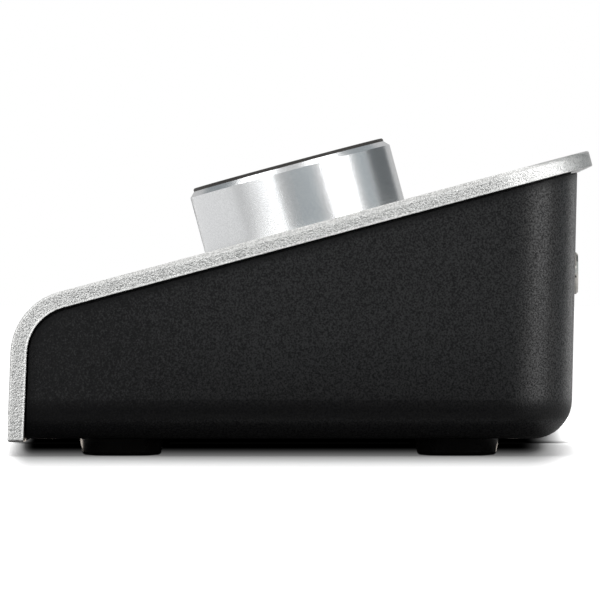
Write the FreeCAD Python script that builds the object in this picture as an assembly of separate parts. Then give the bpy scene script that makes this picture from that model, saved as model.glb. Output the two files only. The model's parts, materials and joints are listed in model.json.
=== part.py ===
import FreeCAD, Part
import math
import os

# Desktop audio interface. A thick aluminium plate slopes up from front to rear and bends down
# over the front; a moulded black housing hangs below it, stands on four rubber feet, and
# carries the circuit boards and the sockets of the rear panel. One large knob stands square
# to the plate, turns without end and clicks down as a push switch.
# Millimetres. X runs to the user's right, Y to the rear, Z up. The origin lies on the table,
# under the middle of the whole object.

V = FreeCAD.Vector

# Top panel
panel_width = 267.0
panel_depth = 127.4
panel_thick = 3.5
panel_slope = 15.0          # degrees from the table
panel_lean = 2.2            # degrees that the front leg leans back
panel_mid_height = 49.8     # top face over the middle of the depth
panel_bend_radius = 14.2    # outer radius of the front bend
panel_leg_end = 3.2         # height of the leg's lower end over the table
panel_corner_radius = 17.5  # rear corners, seen square to the plate
panel_edge_radius = 0.5     # round the visible face
panel_back_radius = 0.25    # round the hidden face

# Feet
foot_stand = 3.8            # height of the housing's underside over the table
foot_radius = 9.2
foot_tip_radius = 8.5
foot_land_radius = 6.0      # flat middle of the sole
foot_edge_radius = 0.9
foot_dome = 0.15            # height of the sole's edge over its flat middle
foot_pocket = 1.0           # depth of the pocket in the housing that takes the foot
foot_side = 21.2            # from a foot's axis to the housing's side
foot_front = 24.6           # and to the front and the rear of the object
foot_rear = 29.6

# Housing
wall = 2.6
side_overhang = 2.3         # the plate stands out over the housing's sides
rear_overhang = 3.35        # and over its rear wall
rear_draft = 1.3            # degrees
rim_gap = 0.4               # shadow gap between the rim and the plate
rim_step = 1.3              # the lip inside the gap lies this far in from the outer face
rim_radius = 0.3            # rounding of the rim's outer edge
housing_corner_radius = 14.5
housing_bottom_radius = 8.5
rib_thick = 1.6
rib_height = 2.4

# Screws that hold the plate on the housing, and their towers
tower_radius = 5.0
tower_side = 10.2           # from the axis of an outer tower to the housing's side
tower_front = 13.7          # and to the front and the rear of the object
tower_rear = 20.7
tower_mid_x = 40.0
tower_mid_front = 12.2
boss_radius = 4.0
boss_length = 8.0
screw_radius = 1.5
screw_head_radius = 2.8
screw_head_height = 2.0
screw_grip = 3.0            # thickness of the web under the screw's head
screw_bite = 6.0            # length of thread in the boss
screw_play = 0.1            # radial play of every screw in its hole

# Knob, square to the plate
knob_y = 1.1                # where its axis meets the top face
knob_radius = 23.4
knob_height = 14.7          # top of the metal over the plate
knob_chamfer = 1.15
knob_wall = 2.4
knob_top = 2.0
knob_cap_thick = 0.72
knob_cap_edge = 0.25
knob_cap_spigot_radius = 19.0
knob_cap_spigot = 0.8
knob_skirt = 0.5            # the knob's lower edge lies this far below the plate's face
knob_recess_gap = 0.8
knob_socket_wall = 2.5
hub_radius = 6.95
hub_collet_radius = 5.5
hub_collet_height = 2.2
clip_thick = 0.8
clip_height = 1.2
clip_opening = 3.0

# Encoder under the knob
press_travel = 0.5          # way of the knob and the shaft when the switch is pushed
press_play = 0.2            # left free below them when pushed
encoder_side = 13.0
encoder_height = 6.5
encoder_floor = 0.5
encoder_roof = 1.5
encoder_chamber_radius = 5.2
bushing_radius = 4.5
bushing_top = 2.0
shaft_radius = 3.0
shaft_top = 11.8
shaft_flat = 2.5            # distance of the flat from the shaft's axis
wheel_radius = 4.8
wheel_lift = 0.5            # over the shaft's lower end
wheel_thick = 0.8
plunger_radius = 2.6
plunger_thick = 0.85
nut_across = 12.0
nut_thick = 2.0
washer_radius = 6.5
washer_thick = 0.5
running_gap = 0.05          # radial play of turning and sliding fits
press_gap = 0.02            # radial play of pushed-on fits

# Display windows and touch pads in the plate
glass_width = 70.0
glass_length = 34.0
glass_thick = 1.8
glass_corner = 4.0
glass_ledge = 2.0
glass_x = 72.0
glass_s = 10.0              # along the slope, from the knob's axis
glass_gap = 0.15
display_margin = 1.5        # between a display module and the opening's side
display_thick = 2.0
touch_radius = 5.5
touch_flange = 1.5
touch_flange_thick = 1.2
touch_s = -26.0
touch_pitch = 22.0
touch_per_side = 3

# Control board, fixed below the plate on posts
control_half_width = 115.5
control_front_s = -38.0
control_rear_gap = 1.4      # between its rear edge and the combined sockets
board_thick = 1.6
post_radius = 3.0
post_x = 111.5
post_inner_x = 27.0
post_inset = 4.0
small_screw_radius = 1.25
small_head_radius = 2.3
small_head_height = 1.5
small_screw_length = 5.0

# Main board on the floor of the housing
main_side = 18.2            # from the board's side to the housing's
main_front = 17.7           # and from its front to the front of the object
board_edge_gap = 0.3        # between a board's rear edge and the rear panel's seat
board_lift = 6.5
board_boss_radius = 3.2
board_boss_inset = 5.0      # from the board's sides and front
board_boss_rear = 12.9      # in front of the combined sockets
board_boss_mid_x = 12.0

# Rear panel, in a window of the rear wall that is open at the top
window_half_width = 111.0
window_low = 12.6
window_corner = 2.0
rear_panel_thick = 1.2
rear_panel_recess = 0.3     # behind the wall's face at the window's lower edge
rear_panel_gap = 0.15
flat_head_radius = 2.3      # countersunk screws of the rear panel
flat_head_brim = 0.15
flat_head_sink = 0.05       # behind the panel's face
ledge_width = 5.0
ledge_thick = 3.5
ledge_reach = 3.0           # how far the ledge runs on behind the wall
socket_gap = 0.2            # round each socket in the rear panel

# Jack sockets for 6.35 mm plugs
jack_bore_radius = 3.25
jack_depth = 31.0
jack_body_width = 14.0
jack_body_height = 13.0
jack_body_corner = 1.0
jack_back = 1.0
collar_radius = 4.6
collar_stand = 2.05         # in front of the rear panel
collar_chamfer = 0.4
collar_seat = 2.0
line_jack_z = 39.9
line_jack_first_x = 19.0
line_jack_pitch = 15.0
line_jack_count = 6
headphone_front = 35.7      # from its axis to the front of the object
headphone_stand = 1.0       # in front of the side wall
headphone_tab = 24.0        # width of the main board's tab under the socket
bezel_size = 15.0           # square insert of the side wall, round the headphone socket
bezel_corner = 2.0
bezel_gap = 0.1
bezel_sink = 0.3            # behind the wall's face

# Combined microphone and line sockets
combo_first_x = -89.0
combo_pitch = 26.5
combo_count = 4
combo_width = 25.5
combo_height = 31.0
combo_depth = 32.0
combo_nose_radius = 11.9
combo_mouth_radius = 10.0
combo_mouth_depth = 18.0
combo_insert_radius = 7.9
combo_insert_sink = 0.8
combo_pin_circle = 5.35
combo_pin_radius = 1.35
combo_pin_depth = 12.0
combo_pin_angles = (40.0, 140.0, 270.0)
contact_wall = 0.3
contact_sink = 1.0

# Output board, on spacers over the main board
output_low_x = 10.0
output_high_x = 102.0
output_front = 9.0          # from its front edge to the backs of the line jacks
spacer_across = 5.0
spacer_inset = 4.5

# Digital and power sockets, on the main board
dc_x = 96.0
dc_width = 9.0
dc_height = 11.0
dc_depth = 14.2
dc_nose_radius = 4.0
dc_nose = 2.0
dc_axis_lift = 6.5
dc_bore_radius = 2.9
dc_bore_depth = 10.0
dc_pin_radius = 1.0
dc_pin_sink = 1.5
usb_b_x = 78.0
usb_b_width = 12.0
usb_b_height = 11.0
usb_b_depth = 16.3
usb_b_mouth_width = 8.5
usb_b_mouth_height = 7.8
usb_b_mouth_depth = 13.0
usb_b_mouth_chamfer = 1.5
usb_b_tongue_width = 5.6
usb_b_tongue_height = 3.2
usb_b_tongue_sink = 4.3
usb_a_x = 58.0
usb_a_width = 13.4
usb_a_height = 6.6
usb_a_depth = 14.0
usb_a_wall = 0.45
usb_a_tongue_thick = 1.8
usb_a_tongue_width = 11.1
usb_a_tongue_sink = 1.3
optical_first_x = 21.0
optical_pitch = 17.0
optical_count = 2
optical_width = 12.0
optical_height = 12.4
optical_depth = 14.0
optical_chamber_width = 9.3
optical_chamber_height = 8.9
optical_chamber_depth = 12.0
optical_chamber_lift = 1.6
optical_frame = 2.4
optical_mouth_width = 8.3
optical_mouth_height = 7.6
optical_mouth_chamfer = 1.6
shutter_thick = 0.8
shutter_gap = 0.15
shutter_pin_radius = 0.5
shutter_pin_reach = 0.8
slot_x = 7.5
slot_z = 20.0
slot_width = 7.0
slot_height = 3.0
slot_corner = 1.0

# Parts standing on the boards
shield_place = (50.0, 2.0)
shield_size = (40.0, 30.0, 4.5)
shield_wall = 0.4
chip_thick = 1.4
chip_sides = ((-60.0, -12.0, 14.0), (-22.0, -8.0, 10.0), (90.0, -20.0, 12.0), (20.0, -22.0, 8.0))
relay_size = (9.0, 14.0, 6.5)
relay_gap = 1.5             # between relays and capacitors
capacitor_radius = 4.0
capacitor_height = 11.0
capacitor_gap = 2.4         # behind the capacitors, to the combined sockets
capacitor_side_x = 5.5
connector_size = (24.0, 5.0, 3.2)
control_connector_s = -20.0
ribbon_width = 20.0
ribbon_thick = 0.4
ribbon_bend_radius = 12.0
ribbon_rise = 8.0           # straight run above the main board's connector

# Length by which a cutting shape runs past what it cuts
over = 1.0

# Values that follow from the driving ones
slope = math.radians(panel_slope)
lean = math.radians(panel_lean)
draft = math.radians(rear_draft)
front_y = -panel_depth / 2
rear_y = panel_depth / 2
clear_height = panel_mid_height + panel_depth
along_slope = V(0, math.cos(slope), math.sin(slope))
off_slope = V(0, -math.sin(slope), math.cos(slope))
off_front = V(0, -math.cos(lean), math.sin(lean))
up_front = V(0, math.sin(lean), math.cos(lean))
top_point = V(0, 0, panel_mid_height)
front_point = V(0, front_y, panel_leg_end)
housing_half_width = panel_width / 2 - side_overhang
foot_x = housing_half_width - foot_side
foot_front_y = front_y + foot_front
foot_rear_y = rear_y - foot_rear
tower_x = housing_half_width - tower_side
tower_front_y = front_y + tower_front
tower_rear_y = rear_y - tower_rear
tower_mid_y = front_y + tower_mid_front
main_half_width = housing_half_width - main_side
main_front_y = front_y + main_front
headphone_y = front_y + headphone_front
floor_top = foot_stand + wall
main_low = floor_top + board_lift
main_top = main_low + board_thick
knob_foot = V(0, knob_y, panel_mid_height + knob_y * math.tan(slope))
plate_frame = FreeCAD.Placement(knob_foot, FreeCAD.Rotation(V(1, 0, 0), panel_slope))
control_top = -panel_thick - encoder_height
knob_recess = knob_skirt + press_travel + press_play
hub_low = bushing_top + press_travel + press_play
plunger_low = control_top + encoder_floor + press_travel + press_play
shaft_bottom = plunger_low + plunger_thick + running_gap
wheel_low = shaft_bottom + wheel_lift


def underside(y):
    """Height of the plate's lower face at depth y."""
    return panel_mid_height + y * math.tan(slope) - panel_thick / math.cos(slope)


def rear_wall_y(z):
    """Depth of the rear wall's outer face at height z."""
    top = rear_y - rear_overhang
    return top - (underside(top) - z) * math.tan(draft)


rear_face = rear_wall_y(window_low) - rear_panel_recess
rear_back = rear_face - rear_panel_thick
window_high = underside(rear_back) - rim_gap
board_rear_y = rear_back - ledge_thick - board_edge_gap
combo_back = rear_face - combo_depth
board_boss_x = main_half_width - board_boss_inset
board_boss_front_y = main_front_y + board_boss_inset
board_boss_rear_y = combo_back - board_boss_rear
capacitor_y = combo_back - capacitor_gap - capacitor_radius
relay_y = capacitor_y - capacitor_radius - relay_gap - relay_size[1] / 2
line_jack_back = rear_face + collar_stand - jack_depth - jack_back
output_front_y = line_jack_back - output_front
control_low = control_top - board_thick
control_reach = combo_back - control_rear_gap - knob_y + control_low * math.sin(slope)
control_rear_s = control_reach / math.cos(slope)
output_top = line_jack_z - jack_body_height / 2
output_low = output_top - board_thick


# Small shape helpers
def block(x0, x1, y0, y1, z0, z1):
    return Part.makeBox(x1 - x0, y1 - y0, z1 - z0, V(x0, y0, z0))


def block_at(x, y, width, length, z0, z1):
    return block(x - width / 2, x + width / 2, y - length / 2, y + length / 2, z0, z1)


def rod(radius, start, end):
    axis = end - start
    return Part.makeCylinder(radius, axis.Length, start, axis)


def upright(radius, x, y, z0, z1):
    return rod(radius, V(x, y, z0), V(x, y, z1))


def endways(radius, x, z, y0, y1):
    return rod(radius, V(x, y0, z), V(x, y1, z))


def parallel_edges(solid, direction):
    """Straight edges of a solid that run along a direction."""
    found = []
    for edge in solid.Edges:
        if edge.Curve.TypeId != "Part::GeomLine":
            continue
        if abs(abs(edge.tangentAt(edge.FirstParameter).dot(direction)) - 1) < 1e-6:
            found.append(edge)
    return found


def slab(width, length, corner, x, y, z0, z1):
    """A flat block with four upright edges rounded."""
    solid = block_at(x, y, width, length, z0, z1)
    return solid.makeFillet(corner, parallel_edges(solid, V(0, 0, 1)))


def turned(outline):
    """A solid of revolution about Z from (radius, height) points."""
    points = [V(r, 0, h) for r, h in outline]
    face = Part.Face(Part.makePolygon(points + points[:1]))
    return face.revolve(V(0, 0, 0), V(0, 0, 1), 360)


def extruded_x(edges, x0, x1):
    """Extrudes a closed outline drawn in the plane X = 0."""
    face = Part.Face(Part.Wire(edges))
    solid = face.extrude(V(x1 - x0, 0, 0))
    solid.translate(V(x0, 0, 0))
    return solid


def line(start, end):
    return Part.LineSegment(start, end).toShape()


def arc(start, middle, end):
    return Part.Arc(start, middle, end).toShape()


def cut_all(solid, tools):
    return solid.cut(Part.makeCompound(tools))


def joined(first, others):
    return first.fuse(others).removeSplitter()


def on_plate(shape):
    """Moves a shape drawn on the plate's face to its place; there Z is square to the plate."""
    placed = shape.copy()
    placed.Placement = plate_frame.multiply(placed.Placement)
    return placed


def bend(front_offset, top_offset, radius):
    """Start, middle and end of the bend between two faces that lie inside the plate's own."""
    front = front_point - off_front * front_offset
    top = top_point - off_slope * top_offset
    apart = front - top
    reach = apart.y * up_front.z - apart.z * up_front.y
    reach /= along_slope.y * up_front.z - along_slope.z * up_front.y
    corner = top + along_slope * reach
    both = off_front + off_slope
    centre = corner - both * (radius / (1 + off_front.dot(off_slope)))
    return [centre + way * radius for way in (off_front, both.normalize(), off_slope)]


def bent_strip(start, corner, end, radius, thick):
    """Outline of a strip of even thickness with one bend, centred on its path."""
    first = (corner - start).normalize()
    second = (end - corner).normalize()
    turn = first.getAngle(second)
    side = 1 if first.cross(second).x > 0 else -1
    left = V(0, -first.z, first.y) * side
    right = V(0, -second.z, second.y) * side
    tangent = radius * math.tan(turn / 2)
    centre = corner - first * tangent + left * radius
    middle = (left + right).normalize()
    edges = []
    rows = []
    for offset in (thick / 2, -thick / 2):
        arc_radius = radius + offset
        rows.append([
            start - left * offset,
            centre - left * arc_radius,
            centre - middle * arc_radius,
            centre - right * arc_radius,
            end - right * offset,
        ])
    for row in rows:
        edges += [line(row[0], row[1]), arc(row[1], row[2], row[3]), line(row[3], row[4])]
    edges.append(line(rows[0][0], rows[1][0]))
    edges.append(line(rows[0][4], rows[1][4]))
    return Part.sortEdges(edges)[0]


def towers():
    """Places of the six screws that join plate and housing."""
    places = []
    for side in (-1, 1):
        places.append((side * tower_x, tower_front_y))
        places.append((side * tower_x, tower_rear_y))
        places.append((side * tower_mid_x, tower_mid_y))
    return places


def tower_top(y):
    return underside(y) - boss_length


def feet():
    places = {}
    for side, side_name in ((-1, "left"), (1, "right")):
        places["foot_front_" + side_name] = (side * foot_x, foot_front_y)
        places["foot_rear_" + side_name] = (side * foot_x, foot_rear_y)
    return places


def board_bosses():
    """Places of the main board's screws."""
    return [
        (-board_boss_x, board_boss_front_y),
        (board_boss_x, board_boss_front_y),
        (-board_boss_x, board_boss_rear_y),
        (board_boss_x, board_boss_rear_y),
        (0, board_boss_front_y),
        (board_boss_mid_x, board_boss_rear_y),
    ]


def control_posts():
    """Places, on the plate, of the posts that carry the control board."""
    front = control_front_s + post_inset
    rear = control_rear_s - post_inset
    return [(side * x, s) for side in (-1, 1) for x, s in (
        (post_x, front), (post_x, rear), (post_inner_x, front))]


def touch_pads():
    """Places, on the plate, of the touch pads, centred below the windows."""
    first = glass_x - touch_pitch * (touch_per_side - 1) / 2
    return [side * (first + touch_pitch * i) for side in (-1, 1) for i in range(touch_per_side)]


def line_jacks():
    return [line_jack_first_x + line_jack_pitch * i for i in range(line_jack_count)]


def combos():
    return [combo_first_x + combo_pitch * i for i in range(combo_count)]


def opticals():
    return [optical_first_x + optical_pitch * i for i in range(optical_count)]


combo_z = main_top + combo_height / 2
headphone_z = main_top + jack_body_height / 2
headphone_mouth = -housing_half_width - headphone_stand
dc_z = main_top + dc_axis_lift
usb_b_z = main_top + usb_b_height / 2
usb_a_z = main_top + usb_a_height / 2
optical_floor = main_top + optical_chamber_lift
optical_roof = optical_floor + optical_chamber_height


# Top panel: plate bent over the front, edge rounded, rear corners rounded
def panel_blank():
    outer = bend(0, 0, panel_bend_radius)
    inner = bend(panel_thick, panel_thick, panel_bend_radius - panel_thick)
    end_y = rear_y - panel_thick * math.sin(slope)
    end = top_point + along_slope * (end_y / math.cos(slope))
    end_low = end - off_slope * panel_thick
    leg_low = front_point - off_front * panel_thick
    solid = extruded_x([
        line(front_point, outer[0]),
        arc(*outer),
        line(outer[2], end),
        line(end, end_low),
        line(end_low, inner[2]),
        arc(inner[2], inner[1], inner[0]),
        line(inner[0], leg_low),
        line(leg_low, front_point),
    ], -panel_width / 2, panel_width / 2)
    corners = parallel_edges(solid, off_slope)
    solid = solid.makeFillet(panel_corner_radius, corners)
    solid = solid.makeFillet(panel_edge_radius, skin_border(solid, panel_bend_radius, 1))
    back_radius = panel_bend_radius - panel_thick
    return solid.makeFillet(panel_back_radius, skin_border(solid, back_radius, -1))


def skin_border(solid, radius, way):
    """Edges round one skin of the bent plate: its flat, its bend and its leg together."""
    seen = {}
    for face in solid.Faces:
        middle = face.CenterOfMass
        normal = face.normalAt(*face.Surface.parameter(middle)) * way
        is_bend = face.Surface.TypeId == "Part::GeomCylinder" and \
            abs(face.Surface.Radius - radius) < 1e-6
        is_flat = (normal - off_slope).Length < 1e-6 or (normal - off_front).Length < 1e-6
        if is_bend or is_flat:
            for edge in face.Edges:
                seen.setdefault(edge.hashCode(), []).append(edge)
    return [same[0] for same in seen.values() if len(same) == 1]


def top_panel():
    bosses = []
    pilots = []
    for x, y in towers():
        low = tower_top(y)
        bosses.append(upright(boss_radius, x, y, low, underside(y) + panel_thick / 2))
        hole_top = low + screw_bite + screw_play
        pilots.append(upright(screw_radius + screw_play, x, y, low - over, hole_top))
    posts = [upright(post_radius, x, s, control_top, -panel_thick / 2) for x, s in control_posts()]
    cuts = [upright(knob_radius + knob_recess_gap, 0, 0, -knob_recess, panel_thick)]
    cuts.append(upright(bushing_radius + screw_play, 0, 0, -2 * panel_thick, panel_thick))
    for side in (-1, 1):
        cuts.append(slab(glass_width + 2 * glass_gap, glass_length + 2 * glass_gap,
                         glass_corner, side * glass_x, glass_s, -glass_thick, panel_thick))
        cuts.append(slab(glass_width - 2 * glass_ledge, glass_length - 2 * glass_ledge,
                         glass_corner - glass_ledge, side * glass_x, glass_s,
                         -2 * panel_thick, panel_thick))
    for x in touch_pads():
        cuts.append(upright(touch_radius + screw_play, x, touch_s, -2 * panel_thick, panel_thick))
    hole_depth = small_screw_length - board_thick + screw_play
    for x, s in control_posts():
        cuts.append(upright(small_screw_radius + screw_play, x, s,
                            control_top - over, control_top + hole_depth))
    solid = panel_blank().fuse(bosses + [on_plate(post) for post in posts])
    return cut_all(solid, pilots + [on_plate(cut) for cut in cuts])


def display_glass(side):
    return on_plate(slab(glass_width, glass_length, glass_corner - glass_gap,
                         side * glass_x, glass_s, -glass_thick, 0))


def display_module(side):
    """A display panel bonded to the underside of its window."""
    inner = 2 * (glass_ledge + display_margin)
    return on_plate(block_at(side * glass_x, glass_s, glass_width - inner, glass_length - inner,
                             -glass_thick - display_thick, -glass_thick))


def touch_lenses():
    lenses = []
    for x in touch_pads():
        lens = turned([
            (0, 0), (touch_radius, 0), (touch_radius, -panel_thick),
            (touch_radius + touch_flange, -panel_thick),
            (touch_radius + touch_flange, -panel_thick - touch_flange_thick),
            (0, -panel_thick - touch_flange_thick),
        ])
        lens.translate(V(x, touch_s, 0))
        lenses.append(on_plate(lens))
    return Part.makeCompound(lenses)


# Control board and its screws, in the plate's own directions
def control_board():
    board = block(-control_half_width, control_half_width, control_front_s, control_rear_s,
                  control_low, control_top)
    holes = [upright(small_screw_radius + screw_play, x, s, control_low - over, control_top + over)
             for x, s in control_posts()]
    return on_plate(cut_all(board, holes))


def small_screw(x, y, seat, direction):
    """A board screw whose head rests on the level seat and whose shank runs along direction."""
    head = turned([
        (0, -small_head_height), (small_head_radius * 0.8, -small_head_height),
        (small_head_radius, -small_head_height * 0.6), (small_head_radius, 0),
        (small_screw_radius, 0), (small_screw_radius, small_screw_length),
        (0, small_screw_length),
    ])
    if direction < 0:
        head = head.mirror(V(0, 0, 0), V(0, 0, 1))
    head.translate(V(x, y, seat))
    return head


def control_board_screws():
    return Part.makeCompound([on_plate(small_screw(x, s, control_low, 1))
                              for x, s in control_posts()])


# Encoder: body with its threaded bushing, shaft with code wheel, push-switch plunger
def encoder_body():
    half = encoder_side / 2
    body = block(-half, half, -half, half, control_top, -panel_thick)
    bushing = upright(bushing_radius, 0, 0, -panel_thick - encoder_roof, bushing_top)
    chamber = upright(encoder_chamber_radius, 0, 0, control_top + encoder_floor,
                      -panel_thick - encoder_roof)
    bore = upright(shaft_radius + running_gap, 0, 0, control_top + encoder_height / 2,
                   bushing_top + over)
    return on_plate(cut_all(body.fuse(bushing), [chamber, bore]))


def encoder_shaft():
    wheel = upright(wheel_radius, 0, 0, wheel_low, wheel_low + wheel_thick)
    shaft = upright(shaft_radius, 0, 0, shaft_bottom, shaft_top)
    flat = block(-shaft_radius, shaft_radius, shaft_flat, shaft_radius, hub_low, shaft_top)
    return on_plate(shaft.cut(flat).fuse(wheel))


def encoder_plunger():
    return on_plate(upright(plunger_radius, 0, 0, plunger_low, plunger_low + plunger_thick))


def encoder_washer():
    low = -knob_recess
    ring = upright(washer_radius, 0, 0, low, low + washer_thick)
    hole = upright(bushing_radius + screw_play, 0, 0, low - over, low + washer_thick + over)
    return on_plate(ring.cut(hole))


def encoder_nut():
    low = washer_thick - knob_recess
    corner = nut_across / 2 / math.cos(math.pi / 6)
    points = [V(corner * math.cos(math.pi / 3 * i), corner * math.sin(math.pi / 3 * i), low)
              for i in range(6)]
    nut = Part.Face(Part.makePolygon(points + points[:1])).extrude(V(0, 0, nut_thick))
    hole = upright(bushing_radius + running_gap, 0, 0, low - over, low + nut_thick + over)
    return on_plate(nut.cut(hole))


# Knob: turned shell, pushed-on hub with a spring clip, black cap disc
def knob_shell():
    inner = knob_radius - knob_wall
    ceiling = knob_height - knob_top
    socket = hub_radius + press_gap
    socket_low = hub_low + hub_collet_height
    seat = knob_cap_spigot_radius + press_gap
    return on_plate(turned([
        (seat, knob_height), (knob_radius - knob_chamfer, knob_height),
        (knob_radius, knob_height - knob_chamfer), (knob_radius, -knob_skirt),
        (inner, -knob_skirt), (inner, ceiling),
        (socket + knob_socket_wall, ceiling), (socket + knob_socket_wall, socket_low),
        (socket, socket_low), (socket, ceiling), (0, ceiling),
        (0, knob_height - knob_cap_spigot), (seat, knob_height - knob_cap_spigot),
    ]))


def knob_cap():
    radius = knob_radius - knob_chamfer
    top = knob_height + knob_cap_thick
    return on_plate(turned([
        (0, top), (radius - knob_cap_edge, top), (radius, top - knob_cap_edge),
        (radius, knob_height), (knob_cap_spigot_radius, knob_height),
        (knob_cap_spigot_radius, knob_height - knob_cap_spigot),
        (0, knob_height - knob_cap_spigot),
    ]))


def knob_hub():
    top = knob_height - knob_top
    collet_top = hub_low + hub_collet_height
    hub = turned([
        (0, hub_low), (hub_collet_radius, hub_low), (hub_collet_radius, collet_top),
        (hub_radius, collet_top), (hub_radius, top), (0, top),
    ])
    bore = upright(shaft_radius + press_gap, 0, 0, hub_low - over, shaft_top + press_gap)
    key = block(-hub_radius, hub_radius, shaft_flat + press_gap, hub_radius, hub_low - 2 * over, top)
    return on_plate(hub.cut(bore.cut(key)))


def knob_clip():
    """Open spring ring round the hub's collet."""
    low = hub_low + (hub_collet_height - clip_height) / 2
    outer = hub_collet_radius + press_gap + clip_thick
    ring = upright(outer, 0, 0, low, low + clip_height)
    hole = upright(hub_collet_radius + press_gap, 0, 0, low - over, low + clip_height + over)
    opening = block(0, outer + over, -clip_opening / 2, clip_opening / 2,
                    low - over, low + clip_height + over)
    return on_plate(ring.cut(hole).cut(opening))


# Housing: wedge-shaped tray, open at the top, its rim parallel to the plate
def wedge(top_gap, inset, shell):
    """The tray's solid form; inset draws in sides and rear, shell draws in floor and front too."""
    front_offset = panel_thick + rim_gap + shell
    top_offset = panel_thick + top_gap
    curve = bend(front_offset, top_offset, panel_bend_radius - panel_thick - rim_gap)
    rear_top_y = rear_y - rear_overhang - inset - shell
    rear_top_z = underside(rear_top_y) - top_gap / math.cos(slope)
    low = foot_stand + shell
    rear_low_y = rear_top_y - (rear_top_z - low) * math.tan(draft)
    front_low = curve[0] - up_front * ((curve[0].z - low) / up_front.z)
    rear_top = V(0, rear_top_y, rear_top_z)
    rear_low = V(0, rear_low_y, low)
    half = housing_half_width - inset - shell
    solid = extruded_x([
        line(front_low, curve[0]),
        arc(*curve),
        line(curve[2], rear_top),
        line(rear_top, rear_low),
        line(rear_low, front_low),
    ], -half, half)
    rear_edges = parallel_edges(solid, (rear_top - rear_low).normalize())
    solid = solid.makeFillet(housing_corner_radius - inset - shell, rear_edges)
    floor = [f for f in solid.Faces if f.BoundBox.ZMax < low + 1e-6][0]
    edges = [e for e in floor.Edges if e.CenterOfMass.y > front_low.y + over]
    return solid.makeFillet(housing_bottom_radius - inset - shell, edges)


def rim_edges(solid):
    """Border of the wedge's upper face, which runs on round the bend and the front."""
    top = [f for f in solid.Faces if (f.normalAt(0, 0) - off_slope).Length < 1e-6][0]
    return [e for e in top.Edges if e.CenterOfMass.y > front_y + panel_bend_radius]


def lower_housing():
    outer = wedge(rim_gap, 0, 0)
    outer = outer.makeFillet(rim_radius, rim_edges(outer))
    lip = wedge(0, rim_step, 0)
    cavity = wedge(-2 * panel_thick, 0, wall)
    shell = outer.fuse(lip).cut(cavity)
    added = ledges() + floor_ribs()
    cuts = [window_cut()]
    for x, y in board_bosses():
        added.append(upright(board_boss_radius, x, y, foot_stand + wall / 2, main_low))
        cuts.append(upright(small_screw_radius + screw_play, x, y, floor_top, main_low + over))
    for x, y in towers():
        top = tower_top(y)
        added.append(upright(tower_radius, x, y, foot_stand + wall / 2, top))
        added.append(tower_rib(x, y, top))
        cuts.append(upright(screw_radius + screw_play, x, y, foot_stand, top + over))
        cuts.append(upright(screw_head_radius + 2 * screw_play, x, y, foot_stand - over,
                            top - screw_grip))
    for x, z in panel_screws():
        cuts.append(endways(small_screw_radius + screw_play, x, z,
                            rear_back - ledge_thick - over, rear_back + over))
    for x, y in feet().values():
        cuts.append(upright(foot_radius + screw_play, x, y, foot_stand - over,
                            foot_stand + foot_pocket))
    cuts.append(side_window(bezel_size, bezel_corner, -panel_width, -housing_half_width + wall + over))
    inside = wedge(rim_gap, 0, wall / 2)
    solid = shell.fuse([piece.common(inside) for piece in added])
    return cut_all(solid, cuts).removeSplitter()


def rounded_below(solid):
    """Rounds the two lower edges that run from front to rear."""
    middle = solid.CenterOfMass.z
    lower = [e for e in parallel_edges(solid, V(0, 1, 0)) if e.CenterOfMass.z < middle]
    return solid.makeFillet(window_corner, lower)


def window_cut():
    """Opening of the rear wall, from the rear panel's seat outwards and up through the rim."""
    opening = rounded_below(block(-window_half_width, window_half_width, rear_back, rear_y,
                                  window_low, clear_height))
    inner_half = window_half_width - ledge_width
    through = block(-inner_half, inner_half, rear_back - 2 * ledge_thick, rear_y,
                    window_low, clear_height)
    return opening.fuse(through)


def ledges():
    """Seats behind the window's sides, which the rear panel is screwed to."""
    back = rear_back - ledge_thick
    inner = window_half_width - ledge_width
    outer = window_half_width + ledge_reach
    right = block(inner, outer, back, rear_y, floor_top, clear_height)
    return [right, right.mirror(V(0, 0, 0), V(1, 0, 0))]


def side_window(size, corner, x0, x1):
    """Square cutter or insert with rounded corners, round the headphone socket's axis."""
    half = size / 2
    solid = block(x0, x1, headphone_y - half, headphone_y + half,
                  headphone_z - half, headphone_z + half)
    return solid.makeFillet(corner, parallel_edges(solid, V(1, 0, 0)))


def headphone_bezel():
    """Moulded insert in the left wall, which the headphone socket's collar passes through."""
    inner = -housing_half_width + wall
    plate = side_window(bezel_size - 2 * bezel_gap, bezel_corner - bezel_gap,
                        -housing_half_width + bezel_sink, inner)
    hole = rod(collar_radius + socket_gap, V(-panel_width, headphone_y, headphone_z),
               V(inner + over, headphone_y, headphone_z))
    return plate.cut(hole)


def tower_rib(x, y, top):
    """Web that ties a tower to the nearest wall."""
    if abs(x) > main_half_width:
        side = math.copysign(1, x)
        return block_at(x + side * tower_radius, y, 2 * tower_radius, rib_thick,
                        foot_stand + wall / 2, top - screw_grip)
    return block_at(x, y - tower_radius, rib_thick, 2 * tower_radius,
                    foot_stand + wall / 2, top - screw_grip)


def floor_ribs():
    """Crossed stiffening ribs on the floor, below the main board."""
    low = foot_stand + wall / 2
    high = floor_top + rib_height
    ribs = []
    for y in (board_boss_front_y, board_boss_rear_y):
        ribs.append(block_at(0, y, 2 * board_boss_x, rib_thick, low, high))
    for x in (-board_boss_x, 0, board_boss_x):
        length = board_boss_rear_y - board_boss_front_y
        ribs.append(block_at(x, board_boss_front_y + length / 2, rib_thick, length, low, high))
    return ribs


def housing_screws():
    screws = []
    for x, y in towers():
        seat = tower_top(y) - screw_grip
        screw = turned([
            (0, -screw_head_height), (screw_head_radius * 0.75, -screw_head_height),
            (screw_head_radius, -screw_head_height * 0.6), (screw_head_radius, 0),
            (screw_radius, 0), (screw_radius, screw_grip + screw_bite),
            (0, screw_grip + screw_bite),
        ])
        screw.translate(V(x, y, seat))
        screws.append(screw)
    return Part.makeCompound(screws)


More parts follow.
